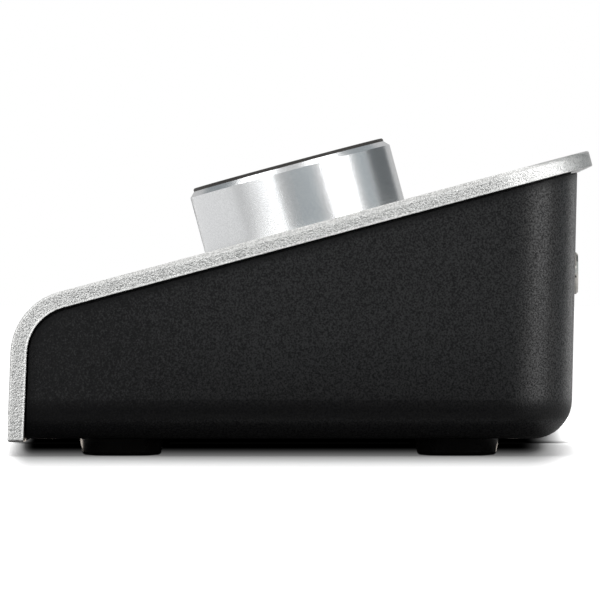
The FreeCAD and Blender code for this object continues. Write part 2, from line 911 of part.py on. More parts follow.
# Feet: tapered rubber pads pressed into pockets of the housing's floor
def foot(x, y):
    top = foot_stand + foot_pocket
    taper = (foot_radius - foot_tip_radius) / foot_stand
    edge = foot_edge_radius
    side_low = foot_tip_radius + taper * (foot_dome + edge)
    knee = V(side_low - edge * (1 - math.sqrt(0.5)), 0, foot_dome + edge * (1 - math.sqrt(0.5)))
    land = V(foot_land_radius, 0, 0)
    shoulder = V(side_low - edge, 0, foot_dome)
    side = V(side_low, 0, foot_dome + edge)
    brim = V(foot_radius, 0, foot_stand)
    rim = V(foot_radius, 0, top)
    hub = V(0, 0, top)
    outline = [
        line(V(0, 0, 0), land), line(land, shoulder), arc(shoulder, knee, side),
        line(side, brim), line(brim, rim), line(rim, hub), line(hub, V(0, 0, 0)),
    ]
    solid = Part.Face(Part.Wire(outline)).revolve(V(0, 0, 0), V(0, 0, 1), 360)
    solid.translate(V(x, y, 0))
    return solid


# Main board, with a tab that carries the headphone socket at the left wall
def main_board():
    board = block(-main_half_width, main_half_width, main_front_y, board_rear_y,
                  main_low, main_top)
    tab_x = -housing_half_width + wall + socket_gap
    tab = block(tab_x, 0, headphone_y - headphone_tab / 2, headphone_y + headphone_tab / 2,
                main_low, main_top)
    holes = [upright(small_screw_radius + screw_play, x, y, main_low - over, main_top + over)
             for x, y in board_bosses()]
    return cut_all(joined(board, [tab]), holes)


def main_board_screws():
    return Part.makeCompound([small_screw(x, y, main_top, -1) for x, y in board_bosses()])


def rear_panel():
    gap = rear_panel_gap
    plate = rounded_below(block(-window_half_width + gap, window_half_width - gap,
                                rear_back, rear_face, window_low + gap, window_high))
    y0 = rear_back - over
    y1 = rear_face + over
    cuts = []
    for x in line_jacks():
        cuts.append(endways(collar_radius + socket_gap, x, line_jack_z, y0, y1))
    for x in combos():
        cuts.append(endways(combo_nose_radius + socket_gap, x, combo_z, y0, y1))
    cuts.append(endways(dc_nose_radius + socket_gap, dc_x, dc_z, y0, y1))
    sockets = [(usb_b_x, usb_b_width, usb_b_height), (usb_a_x, usb_a_width, usb_a_height)]
    sockets += [(x, optical_width, optical_height) for x in opticals()]
    for x, width, height in sockets:
        cuts.append(block(x - width / 2 - socket_gap, x + width / 2 + socket_gap, y0, y1,
                          main_top - socket_gap, main_top + height + socket_gap))
    slot = block(slot_x - slot_width / 2, slot_x + slot_width / 2, y0, y1,
                 slot_z - slot_height / 2, slot_z + slot_height / 2)
    cuts.append(slot.makeFillet(slot_corner, parallel_edges(slot, V(0, 1, 0))))
    hole = flat_screw(screw_play, -over, rear_panel_thick + over)
    return cut_all(plate, cuts + [screwed_in(hole, x, z) for x, z in panel_screws()])


def panel_screws():
    x = window_half_width - ledge_width / 2
    inset = ledge_width
    return [(side * x, z) for side in (-1, 1) for z in (window_low + inset, window_high - inset)]


def flat_screw(play, start, end):
    """A countersunk screw along Z from its face at start, or its hole, which is wider by the play."""
    brim = flat_head_sink + flat_head_brim
    head = flat_head_radius + play
    shank = small_screw_radius + play
    return turned([
        (0, start), (head, start), (head, brim), (shank, brim + head - shank), (shank, end), (0, end),
    ])


def screwed_in(shape, x, z):
    """Turns a shape from +Z to the direction in which the rear panel's screws are driven."""
    placed = shape.copy()
    placed.rotate(V(0, 0, 0), V(1, 0, 0), 90)
    placed.translate(V(x, rear_face, z))
    return placed


def rear_panel_screws():
    screw = flat_screw(0, flat_head_sink, small_screw_length)
    return Part.makeCompound([screwed_in(screw, x, z) for x, z in panel_screws()])


# Jack sockets: moulded body behind the panel, nickelled collar through it
def jack_body(front, mouth):
    """Body with its bore along -Z from the panel's back at height front, mouth at height mouth."""
    back = mouth - jack_depth - jack_back
    half = jack_body_width / 2
    tall = jack_body_height / 2
    body = block(-half, half, -tall, tall, back, front)
    body = body.makeFillet(jack_body_corner, parallel_edges(body, V(0, 0, 1)))
    bore = upright(jack_bore_radius, 0, 0, mouth - jack_depth, front + over)
    seat = upright(collar_radius, 0, 0, front - collar_seat, front + over)
    return body.cut(bore).cut(seat)


def jack_collar(front, mouth):
    low = front - collar_seat
    edge = collar_chamfer
    return turned([
        (jack_bore_radius, low), (collar_radius, low), (collar_radius, mouth - edge),
        (collar_radius - edge, mouth), (jack_bore_radius + edge, mouth),
        (jack_bore_radius, mouth - edge),
    ])


def jack_to_rear(shape, x):
    """Turns a socket's mouth from +Z to +Y and sets it in the upper row."""
    shape.rotate(V(0, 0, 0), V(1, 0, 0), -90)
    shape.translate(V(x, 0, line_jack_z))
    return shape


def jack_to_left(shape):
    """Turns a socket's mouth from +Z to -X and sets it in the left wall."""
    shape.rotate(V(0, 0, 0), V(0, 0, 1), 90)
    shape.rotate(V(0, 0, 0), V(0, 1, 0), -90)
    shape.translate(V(0, headphone_y, headphone_z))
    return shape


def line_jack_parts(make):
    mouth = rear_face + collar_stand
    return Part.makeCompound([jack_to_rear(make(rear_back, mouth), x) for x in line_jacks()])


def headphone_part(make):
    return jack_to_left(make(housing_half_width - wall, -headphone_mouth))


# Combined sockets: moulded housing with a round nose, centre insert, three contact sleeves
def combo_shell(x):
    half = combo_width / 2
    body = block(x - half, x + half, combo_back, rear_back, main_top, main_top + combo_height)
    nose = endways(combo_nose_radius, x, combo_z, rear_back - over, rear_face)
    mouth = endways(combo_mouth_radius, x, combo_z, rear_face - combo_mouth_depth, rear_face + over)
    stem = endways(combo_insert_radius, x, combo_z, combo_back - over, rear_face + over)
    return body.fuse(nose).cut(mouth).cut(stem)


def pin_places(x):
    places = []
    for angle in combo_pin_angles:
        turn = math.radians(angle)
        places.append((x + combo_pin_circle * math.cos(turn),
                       combo_z + combo_pin_circle * math.sin(turn)))
    return places


def combo_insert(x):
    face = rear_face - combo_insert_sink
    core = endways(combo_insert_radius - press_gap, x, combo_z, combo_back, face)
    cuts = [endways(jack_bore_radius, x, combo_z, combo_back + jack_back, face + over)]
    for px, pz in pin_places(x):
        cuts.append(endways(combo_pin_radius, px, pz, face - combo_pin_depth, face + over))
    return cut_all(core, cuts)


def combo_contacts():
    sleeves = []
    face = rear_face - combo_insert_sink
    for x in combos():
        for px, pz in pin_places(x):
            front = face - contact_sink
            back = face - combo_pin_depth
            tube = endways(combo_pin_radius - press_gap, px, pz, back, front)
            hole = endways(combo_pin_radius - contact_wall, px, pz, back - over, front + over)
            sleeves.append(tube.cut(hole))
    return Part.makeCompound(sleeves)


# Output board on hexagonal spacers
def spacer_places():
    y = output_front_y + spacer_inset
    low = output_low_x + spacer_inset
    high = output_high_x - spacer_inset
    return [(low, y), ((low + high) / 2, y), (high, y)]


def output_board():
    board = block(output_low_x, output_high_x, output_front_y, board_rear_y,
                  output_low, output_top)
    holes = [upright(small_screw_radius + screw_play, x, y, output_low - over, output_top + over)
             for x, y in spacer_places()]
    return cut_all(board, holes)


def output_board_spacers():
    corner = spacer_across / 2 / math.cos(math.pi / 6)
    spacers = []
    for x, y in spacer_places():
        points = [V(x + corner * math.cos(math.pi / 3 * i), y + corner * math.sin(math.pi / 3 * i),
                    main_top) for i in range(6)]
        body = Part.Face(Part.makePolygon(points + points[:1]))
        body = body.extrude(V(0, 0, output_low - main_top))
        hole = upright(small_screw_radius + screw_play, x, y,
                       output_low - small_screw_length, output_low + over)
        spacers.append(body.cut(hole))
    return Part.makeCompound(spacers)


def output_board_screws():
    return Part.makeCompound([small_screw(x, y, output_top, -1) for x, y in spacer_places()])


# Power socket with its centre pin
def dc_jack_body():
    half = dc_width / 2
    body = block(dc_x - half, dc_x + half, rear_face - dc_depth, rear_face - dc_nose,
                 main_top, main_top + dc_height)
    nose = endways(dc_nose_radius, dc_x, dc_z, rear_face - dc_nose - over, rear_face)
    bore = endways(dc_bore_radius, dc_x, dc_z, rear_face - dc_bore_depth, rear_face + over)
    return body.fuse(nose).cut(bore)


def dc_jack_pin():
    tip = rear_face - dc_pin_sink
    pin = endways(dc_pin_radius, dc_x, dc_z, rear_face - dc_bore_depth, tip)
    rim = [e for e in pin.Edges if abs(e.CenterOfMass.y - tip) < 1e-6]
    return pin.makeFillet(dc_pin_radius * 0.6, rim)


# Square digital socket: chamfered mouth, contact tongue in its middle
def usb_b_shell():
    half = usb_b_width / 2
    body = block(usb_b_x - half, usb_b_x + half, rear_face - usb_b_depth, rear_face,
                 main_top, main_top + usb_b_height)
    w = usb_b_mouth_width / 2
    h = usb_b_mouth_height / 2
    mouth = block(usb_b_x - w, usb_b_x + w, rear_face - usb_b_mouth_depth, rear_face + over,
                  usb_b_z - h, usb_b_z + h)
    upper = [e for e in parallel_edges(mouth, V(0, 1, 0)) if e.CenterOfMass.z > usb_b_z]
    return body.cut(mouth.makeChamfer(usb_b_mouth_chamfer, upper))


def usb_b_tongue():
    w = usb_b_tongue_width / 2
    h = usb_b_tongue_height / 2
    return block(usb_b_x - w, usb_b_x + w, rear_face - usb_b_mouth_depth,
                 rear_face - usb_b_tongue_sink, usb_b_z - h, usb_b_z + h)


# Flat digital socket: folded metal shell, tongue nearer to its roof
def usb_a_shell():
    half = usb_a_width / 2
    back = rear_face - usb_a_depth
    body = block(usb_a_x - half, usb_a_x + half, back, rear_face,
                 main_top, main_top + usb_a_height)
    mouth = block(usb_a_x - half + usb_a_wall, usb_a_x + half - usb_a_wall,
                  back + usb_a_wall, rear_face + over,
                  main_top + usb_a_wall, main_top + usb_a_height - usb_a_wall)
    return body.cut(mouth)


def usb_a_tongue():
    half = usb_a_tongue_width / 2
    high = main_top + usb_a_height - 2 * usb_a_wall
    return block(usb_a_x - half, usb_a_x + half, rear_face - usb_a_depth + usb_a_wall,
                 rear_face - usb_a_tongue_sink, high - usb_a_tongue_thick, high)


# Optical sockets: moulded housing, and a sprung flap hinged inside its mouth
def shutter_axis(x):
    """Point on the flap's hinge line."""
    y = rear_face - optical_frame - shutter_gap - shutter_thick / 2
    z = optical_roof - shutter_gap - shutter_thick / 2
    return V(x, y, z)


def optical_housing(x):
    half = optical_width / 2
    chamber_half = optical_chamber_width / 2
    mouth_half = optical_mouth_width / 2
    body = block(x - half, x + half, rear_face - optical_depth, rear_face,
                 main_top, main_top + optical_height)
    inner_face = rear_face - optical_frame
    chamber = block(x - chamber_half, x + chamber_half, rear_face - optical_chamber_depth,
                    inner_face, optical_floor, optical_roof)
    mouth_low = optical_floor + (optical_chamber_height - optical_mouth_height) / 2
    mouth = block(x - mouth_half, x + mouth_half, inner_face - over, rear_face + over,
                  mouth_low, mouth_low + optical_mouth_height)
    middle_z = (optical_floor + optical_roof) / 2
    lower = [e for e in parallel_edges(mouth, V(0, 1, 0)) if e.CenterOfMass.z < middle_z]
    mouth = mouth.makeChamfer(optical_mouth_chamfer, lower)
    axis = shutter_axis(x)
    reach = V(chamber_half + shutter_pin_reach + shutter_gap, 0, 0)
    pivot = rod(shutter_pin_radius + running_gap, axis - reach, axis + reach)
    return cut_all(body, [chamber, mouth, pivot])


def optical_shutter(x):
    axis = shutter_axis(x)
    half = optical_chamber_width / 2 - shutter_gap
    thick = shutter_thick / 2
    knuckle = rod(thick, axis - V(half, 0, 0), axis + V(half, 0, 0))
    flap = block(x - half, x + half, axis.y - thick, axis.y + thick,
                 optical_floor + shutter_gap, axis.z)
    reach = V(half + shutter_pin_reach, 0, 0)
    pins = rod(shutter_pin_radius, axis - reach, axis + reach)
    return flap.fuse([knuckle, pins]).removeSplitter()


# Parts on the main board
def shield_can():
    x, y = shield_place
    width, length, height = shield_size
    can = block_at(x, y, width, length, main_top, main_top + height)
    can = can.makeFillet(shield_wall * 2, parallel_edges(can, V(0, 0, 1)))
    inner = 2 * shield_wall
    return can.cut(block_at(x, y, width - inner, length - inner, main_top - over,
                            main_top + height - shield_wall))


def chips():
    return Part.makeCompound([block_at(x, y, side, side, main_top, main_top + chip_thick)
                              for x, y, side in chip_sides])


def relays():
    width, length, height = relay_size
    return Part.makeCompound([block_at(x, relay_y, width, length, main_top, main_top + height)
                              for x in combos()])


def capacitors():
    cans = []
    for x in combos():
        for side in (-1, 1):
            can = upright(capacitor_radius, x + side * capacitor_side_x, capacitor_y,
                          main_top, main_top + capacitor_height)
            rim = [e for e in can.Edges if e.CenterOfMass.z > main_top + capacitor_height - 1e-6]
            cans.append(can.makeChamfer(capacitor_radius / 8, rim))
    return Part.makeCompound(cans)


# Ribbon cable between the boards, with a connector at each end
def control_connector_end():
    """Lower face of the control board's connector, at the ribbon."""
    level = control_low - connector_size[2]
    return plate_frame.multVec(V(0, control_connector_s, level))


def ribbon_path():
    upper = control_connector_end()
    low_z = main_top + connector_size[2]
    corner_z = low_z + ribbon_rise
    corner_y = upper.y + (upper.z - corner_z) * math.tan(slope)
    return V(0, corner_y, low_z), V(0, corner_y, corner_z), upper


def board_connectors():
    width, length, height = connector_size
    low = ribbon_path()[0]
    lower = block_at(0, low.y, width, length, main_top, main_top + height)
    upper = block_at(0, control_connector_s, width, length, control_low - height, control_low)
    return Part.makeCompound([lower, on_plate(upper)])


def ribbon_cable():
    low, corner, high = ribbon_path()
    edges = bent_strip(low, corner, high, ribbon_bend_radius, ribbon_thick)
    return extruded_x(edges, -ribbon_width / 2, ribbon_width / 2)


nodes = {
    "top_panel": top_panel(),
    "display_glass_left": display_glass(-1),
    "display_glass_right": display_glass(1),
    "display_module_left": display_module(-1),
    "display_module_right": display_module(1),
    "touch_pad_lenses": touch_lenses(),
    "control_board": control_board(),
    "control_board_screws": control_board_screws(),
    "encoder_body": encoder_body(),
    "encoder_washer": encoder_washer(),
    "encoder_nut": encoder_nut(),
    "encoder_plunger": encoder_plunger(),
    "encoder_shaft": encoder_shaft(),
    "knob_hub": knob_hub(),
    "knob_clip": knob_clip(),
    "knob_shell": knob_shell(),
    "knob_cap": knob_cap(),
    "lower_housing": lower_housing(),
    "housing_screws": housing_screws(),
    "main_board": main_board(),
    "main_board_screws": main_board_screws(),
    "rear_panel": rear_panel(),
    "rear_panel_screws": rear_panel_screws(),
    "line_jack_bodies": line_jack_parts(jack_body),
    "line_jack_collars": line_jack_parts(jack_collar),
    "headphone_bezel": headphone_bezel(),
    "headphone_jack_body": headphone_part(jack_body),
    "headphone_jack_collar": headphone_part(jack_collar),
    "combo_shells": Part.makeCompound([combo_shell(x) for x in combos()]),
    "combo_inserts": Part.makeCompound([combo_insert(x) for x in combos()]),
    "combo_contacts": combo_contacts(),
    "output_board": output_board(),
    "output_board_spacers": output_board_spacers(),
    "output_board_screws": output_board_screws(),
    "dc_jack_body": dc_jack_body(),
    "dc_jack_pin": dc_jack_pin(),
    "usb_b_shell": usb_b_shell(),
    "usb_b_tongue": usb_b_tongue(),
    "usb_a_shell": usb_a_shell(),
    "usb_a_tongue": usb_a_tongue(),
    "optical_housings": Part.makeCompound([optical_housing(x) for x in opticals()]),
    "shield_can": shield_can(),
    "chips": chips(),
    "relays": relays(),
    "capacitors": capacitors(),
    "board_connectors": board_connectors(),
    "ribbon_cable": ribbon_cable(),
}
for number, x in enumerate(opticals(), 1):
    nodes["optical_shutter_%d" % number] = optical_shutter(x)
for name, (x, y) in feet().items():
    nodes[name] = foot(x, y)

os.makedirs("parts", exist_ok=True)
for name, shape in nodes.items():
    shape.exportStep("parts/" + name + ".step")
    print("%-24s solids %2d  volume %9.1f  valid %s" % (
        name, len(shape.Solids), shape.Volume, shape.isValid()))
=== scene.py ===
import bpy
import bmesh
import json
import math
from mathutils import Matrix, Vector


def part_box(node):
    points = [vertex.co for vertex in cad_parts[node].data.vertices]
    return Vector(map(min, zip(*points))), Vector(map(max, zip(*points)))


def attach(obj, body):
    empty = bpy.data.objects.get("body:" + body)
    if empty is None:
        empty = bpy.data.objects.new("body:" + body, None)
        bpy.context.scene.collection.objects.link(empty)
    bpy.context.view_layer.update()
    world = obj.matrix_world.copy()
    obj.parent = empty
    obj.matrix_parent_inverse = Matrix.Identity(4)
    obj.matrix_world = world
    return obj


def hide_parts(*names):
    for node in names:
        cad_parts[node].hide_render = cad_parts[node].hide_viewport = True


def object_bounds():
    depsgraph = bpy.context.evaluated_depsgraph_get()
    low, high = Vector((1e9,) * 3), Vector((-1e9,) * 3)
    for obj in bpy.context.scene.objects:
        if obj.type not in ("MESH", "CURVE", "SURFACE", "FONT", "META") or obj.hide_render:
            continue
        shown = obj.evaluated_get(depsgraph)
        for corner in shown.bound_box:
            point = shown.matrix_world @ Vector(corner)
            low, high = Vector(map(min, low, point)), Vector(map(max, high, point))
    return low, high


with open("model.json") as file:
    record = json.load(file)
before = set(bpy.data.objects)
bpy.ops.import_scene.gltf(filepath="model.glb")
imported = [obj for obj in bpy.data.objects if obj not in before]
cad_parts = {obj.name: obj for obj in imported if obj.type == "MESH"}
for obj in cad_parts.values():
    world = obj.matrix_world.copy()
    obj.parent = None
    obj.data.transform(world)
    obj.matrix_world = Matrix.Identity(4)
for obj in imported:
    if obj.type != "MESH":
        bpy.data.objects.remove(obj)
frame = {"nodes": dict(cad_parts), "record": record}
cad_box = [list(corner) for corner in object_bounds()]
nodes = frame["nodes"]
scene = bpy.context.scene
scene.view_settings.view_transform = "Standard"
MM = 0.001


# The camera stands level beside the object, three metres from its middle, so that the near and
# the far edges of the plate almost coincide. The long lens takes in the whole depth.
camera_distance = 3.0
camera_offset = -0.14 * MM
camera_height = 34 * MM
camera = bpy.data.objects.new("camera", bpy.data.cameras.new("camera"))
camera.data.sensor_width = 36
camera.data.lens = 793
camera.data.clip_end = 200
camera.location = (camera_distance, camera_offset, camera_height)
camera.rotation_euler = (math.pi / 2, 0, math.pi / 2)
scene.collection.objects.link(camera)
scene.camera = camera


# The studio: a white sweep all round, seen white behind the object and darker in its own
# reflections, and three soft boxes. Two stand at the camera's sides and draw the bright bands
# on the knob; the third hangs behind the object, lights its edges and throws its shadow forward.
world = bpy.data.worlds.new("studio")
world.use_nodes = True
scene.world = world
backdrop = world.node_tree.nodes["Background"]
sky_light = 0.42
sky_in_metal = 0.55
sky_seen = 1.0
backdrop.inputs["Color"].default_value = (1, 1, 1, 1)
rays = world.node_tree.nodes.new("ShaderNodeLightPath")
last = None
for ray, level in (("Is Glossy Ray", sky_in_metal), ("Is Transmission Ray", sky_seen),
                   ("Is Camera Ray", sky_seen)):
    step = world.node_tree.nodes.new("ShaderNodeMix")
    step.inputs[2].default_value = sky_light
    step.inputs[3].default_value = level
    world.node_tree.links.new(rays.outputs[ray], step.inputs[0])
    if last:
        world.node_tree.links.new(last.outputs[0], step.inputs[2])
    last = step
world.node_tree.links.new(last.outputs[0], backdrop.inputs["Strength"])


watts_for_white = 4  # to the square metre


def softbox(name, place, aim, width, height, glow):
    """A rectangular lamp whose face has the given brightness, 1 being white."""
    lamp = bpy.data.objects.new(name, bpy.data.lights.new(name, "AREA"))
    lamp.data.shape = "RECTANGLE"
    lamp.data.size = width
    lamp.data.size_y = height
    lamp.data.energy = glow * watts_for_white * width * height
    lamp.location = place
    lamp.rotation_mode = "QUATERNION"
    lamp.rotation_quaternion = (Vector(aim) - Vector(place)).to_track_quat("-Z", "Y")
    lamp.visible_camera = False
    scene.collection.objects.link(lamp)
    return lamp


def round_the_camera(angle, distance, height):
    """A place at an angle in degrees from the camera's direction, seen from the object."""
    turn = math.radians(angle)
    return (distance * math.cos(turn), distance * math.sin(turn), height)


# Each lamp's place and aim, its width and height, and its brightness.
softbox("front_softbox", round_the_camera(-38.5, 0.6, 0.135), (0, 0, 0.08), 0.43, 0.42, 1.4)
softbox("rear_softbox", round_the_camera(51, 0.9, 0.4), (0, 0, 0.3), 0.5, 0.8, 2.1)
back_softbox = softbox("back_softbox", (-0.7, 0, 0.42), (0.1, 0, 0.02), 1.2, 0.4, 3.0)
back_softbox.visible_glossy = False


# Node trees are put together here: a Wire is one output of a node and takes arithmetic, and a
# Finish is one material with its shader.
class Wire:
    def __init__(self, tree, socket):
        self.tree = tree
        self.socket = socket

    def math(self, operation, *values):
        return self.tree.add("ShaderNodeMath", {"operation": operation}, dict(enumerate(values)))

    def __add__(self, other):
        return self.math("ADD", self, other)

    def __sub__(self, other):
        return self.math("SUBTRACT", self, other)

    def __mul__(self, other):
        return self.math("MULTIPLY", self, other)

    def __truediv__(self, other):
        return self.math("DIVIDE", self, other)

    def __radd__(self, other):
        return self.math("ADD", other, self)

    def __rsub__(self, other):
        return self.math("SUBTRACT", other, self)

    def __rmul__(self, other):
        return self.math("MULTIPLY", other, self)

    def __pow__(self, other):
        return self.math("POWER", self, other)

    def __abs__(self):
        return self.math("ABSOLUTE", self)

    def above(self, level):
        return self.math("GREATER_THAN", self, level)

    def below(self, level):
        return self.math("LESS_THAN", self, level)

    def beyond(self, level):
        """How far the value is over the level, or 0."""
        return self.math("MAXIMUM", self - level, 0.0)

    def between(self, low, high):
        """Rises smoothly from 0 at low to 1 at high."""
        return self.tree.add("ShaderNodeMapRange", {"interpolation_type": "SMOOTHSTEP"},
                             {"Value": self, "From Min": low, "From Max": high})

    def part(self, letter):
        """One coordinate of a vector."""
        split = self.tree.add("ShaderNodeSeparateXYZ", {}, {"Vector": self})
        return Wire(self.tree, split.socket.node.outputs[letter])


class Finish:
    def __init__(self, name, colour=(0.5, 0.5, 0.5), metallic=0.0, roughness=0.5, **more):
        self.material = bpy.data.materials.new(name)
        self.material.use_nodes = True
        self.nodes = self.material.node_tree.nodes
        self.links = self.material.node_tree.links
        self.shader = self.nodes["Principled BSDF"]
        self.material.diffuse_color = (*colour, 1)
        self.set("Base Color", (*colour, 1))
        self.set("Metallic", metallic)
        self.set("Roughness", roughness)
        for socket, value in more.items():
            self.set(socket.replace("_", " "), value)

    def plug(self, socket, value):
        if isinstance(value, Wire):
            self.links.new(value.socket, socket)
        else:
            socket.default_value = value

    def set(self, name, value):
        self.plug(self.shader.inputs[name], value)

    def add(self, kind, settings, inputs, output=0):
        node = self.nodes.new(kind)
        for name, value in settings.items():
            setattr(node, name, value)
        for name, value in inputs.items():
            self.plug(node.inputs[name], value)
        return Wire(self, node.outputs[output])

    def place(self, scale=(1, 1, 1), turn=(0, 0, 0), move=(0, 0, 0)):
        """Object coordinates, turned and stretched."""
        source = self.nodes.new("ShaderNodeTexCoord")
        return self.add("ShaderNodeMapping", {}, {
            "Vector": Wire(self, source.outputs["Object"]), "Scale": scale,
            "Rotation": turn, "Location": move})

    def join(self, x, y, z):
        return self.add("ShaderNodeCombineXYZ", {}, {"X": x, "Y": y, "Z": z})

    def noise(self, where, size, detail=2.0, rough=0.5):
        """Cloudy pattern from 0 to 1, with patches of about the given size in metres."""
        return self.add("ShaderNodeTexNoise", {}, {
            "Vector": where, "Scale": 1 / size, "Detail": detail, "Roughness": rough})

    def cells(self, where, size):
        """Distance to the nearest of scattered points about the given size apart."""
        return self.add("ShaderNodeTexVoronoi", {}, {"Vector": where, "Scale": 1 / size})

    def blend(self, factor, first, second):
        colours = [(*c, 1) if isinstance(c, tuple) and len(c) == 3 else c for c in (first, second)]
        return self.add("ShaderNodeMix", {"data_type": "RGBA"},
                        {0: factor, 6: colours[0], 7: colours[1]}, 2)

    def relief(self, height, depth, strength=1.0, **more):
        """Bump of the given depth in metres."""
        bump = self.add("ShaderNodeBump", {}, {
            "Height": height, "Distance": depth, "Strength": strength, **more})
        self.set("Normal", bump)

    def dress(self, *names):
        """Gives CAD nodes this finish."""
        for name in names:
            for place in nodes[name].material_slots:
                place.material = self.material


# Cards hang round the object, out of the picture, for the metal to mirror: two white strips
# overhead that carry on the soft boxes, grey ones behind the camera, beyond the corners and on the
# floor in front, and small ones low down that draw a line along the feet and the housing's foot.
def card(name, place, aim, width, height, glow, tint=(1, 1, 1)):
    place = Vector(place)
    turn = (Vector(aim) - place).to_track_quat("Z", "Y").to_matrix()
    mesh = bmesh.new()
    bmesh.ops.create_grid(mesh, x_segments=1, y_segments=1, size=0.5)
    bmesh.ops.scale(mesh, verts=mesh.verts, vec=(width, height, 1))
    bmesh.ops.rotate(mesh, verts=mesh.verts, matrix=turn)
    bmesh.ops.translate(mesh, verts=mesh.verts, vec=place)
    data = bpy.data.meshes.new(name)
    mesh.to_mesh(data)
    mesh.free()
    sheet = bpy.data.objects.new(name, data)
    scene.collection.objects.link(sheet)
    finish = Finish(name, (0, 0, 0), 0.0, 1.0)
    finish.set("Emission Color", (*tint, 1))
    finish.set("Emission Strength", glow)
    data.materials.append(finish.material)
    sheet.visible_camera = False
    sheet.visible_diffuse = False
    sheet.visible_shadow = False


# Each card's place and aim, its width and height, its brightness and its tint.
cool = (0.92, 1.0, 1.04)
warm = (1.0, 0.9, 0.8)
card("front_overhead_card", (-0.05, -0.64, 1.0), (-0.05, -0.64, 0), 0.6, 0.44, 2.4)
card("rear_overhead_card", (0.05, 0.06, 1.0), (0.05, 0.06, 0), 0.64, 0.26, 2.4)
card("camera_card", round_the_camera(7, 3.6, 0.82), (0, 0, 0.82), 2.2, 1.6, 0.45, cool)
card("corner_card", round_the_camera(85, 0.36, 0.21), (0, 0, 0.21), 0.12, 0.4, 0.42, cool)
card("dark_corner_card", round_the_camera(119, 0.38, 0.21), (0, 0, 0.21), 0.30, 0.4, 0.13, cool)
card("front_floor_card", (-0.19, -0.36, 0.001), (-0.19, -0.36, 1.0), 0.58, 0.4, 0.74)
card("low_flag", (0.19, 0.012, 0.010), (0, 0.012, 0.010), 0.11, 0.020, 0.02)
card("edge_card", (1.0, 0, 0.95), (0.1, 0, 0.06), 1.4, 0.7, 0.85)
card("foot_of_wall_card", (0.1365, 0, 0.0005), (0.1365, 0, 1), 0.007, 0.12, 0.25)
card("rear_rim_card", (-0.10, 0.27, 0.035), (0.125, 0.058, 0.035), 0.16, 0.07, 1.2)
card("front_foot_card", (0.096, -0.0568, 0.0016), (0.112, -0.050, 0.0016), 0.007, 0.0026, 3.0, warm)
card("rear_foot_card", (0.096, 0.045, 0.0012), (0.112, 0.039, 0.0012), 0.006, 0.0018, 1.8, warm)
card("front_left_card", (-0.75, -0.75, 0.75), (0, 0, 0.06), 0.9, 0.5, 0.28, cool)
card("rear_left_card", (-0.6, 0.34, 0.95), (0, 0, 0.06), 0.5, 0.6, 0.33, cool)


# The floor is a plain matt sweep, white further out, and keeps the object's own shadow. A soft
# shade is painted into its colour round the object, deepest on the camera's side, and a faint
# painted glow lifts it under the object. The painted shade's sides draw together towards the
# camera's side, and would meet some metres out.
floor_size = 60
floor_bounce = 0.82
floor_in_metal = 0.62
painted_floor_glow = 0.2
glow_gain = 1.8
glow_ease = 1.5
floor_whitest = 2.2
shade_start = -60 * MM
shade_reach = 415 * MM
shade_behind = 45 * MM
shade_front = -59.5 * MM
shade_front_reach = 6.1 * MM
shade_rear = 48 * MM
shade_rear_reach = 12.1 * MM
shade_meets = 3.0
shade_ease = 1.8
shade_contrast = 1.58
shade_black = 0.44
shade_on_object = 0.15
shade_object_fade = (0.2, 1.0)
shade_on_metal = 0.12
shade_metal_fade = (0.45, 1.9)
floor_mesh = bmesh.new()
bmesh.ops.create_grid(floor_mesh, x_segments=1, y_segments=1, size=floor_size)
floor_data = bpy.data.meshes.new("floor")
floor_mesh.to_mesh(floor_data)
floor_mesh.free()
floor = bpy.data.objects.new("floor", floor_data)
scene.collection.objects.link(floor)
paper = Finish("floor_paper", (0.8, 0.8, 0.8), 0.0, 1.0)
paper.set("Specular IOR Level", 0.0)
where = paper.place()
toward = where.part("X").beyond(shade_start) / shade_reach
behind = (cad_box[0][0] - where.part("X")).beyond(0.0) / shade_behind
along = where.part("Y") / (1 - where.part("X") / shade_meets)
before = ((shade_front - along).beyond(0.0) / shade_front_reach) ** shade_ease
after = (along.beyond(shade_rear) / shade_rear_reach) ** shade_ease
away = (toward ** 2 + behind ** 2 + before ** 2 + after ** 2) ** 0.5
ray = paper.nodes.new("ShaderNodeLightPath")
seen, mirrored = [Wire(paper, ray.outputs[name]) for name in ("Is Camera Ray", "Is Glossy Ray")]
# The painted shade is put in the floor's colour, for the camera, bounced light and reflections.
out_of_black = (away * shade_contrast - shade_black).beyond(0.0)
painted_shade_to_camera = out_of_black.math("MINIMUM", out_of_black, floor_whitest)
painted_shade_to_object = floor_bounce * (
    shade_on_object + (1 - shade_on_object) * away.between(*shade_object_fade))
painted_shade_to_metal = floor_in_metal * (
    shade_on_metal + (1 - shade_on_metal) * away.between(*shade_metal_fade))
level = painted_shade_to_object + seen * (painted_shade_to_camera - painted_shade_to_object) + mirrored * (painted_shade_to_metal - painted_shade_to_object)
paper.set("Base Color", paper.join(level, level, level))
# A faint painted glow, seen only by the camera, lifts the painted shade near the object.
painted_glow_fill = seen * painted_floor_glow * (away * glow_gain).between(0.0, 1.0) ** glow_ease
paper.set("Emission Color", paper.join(painted_glow_fill, painted_glow_fill, painted_glow_fill))
paper.set("Emission Strength", 1.0)
floor_data.materials.append(paper.material)


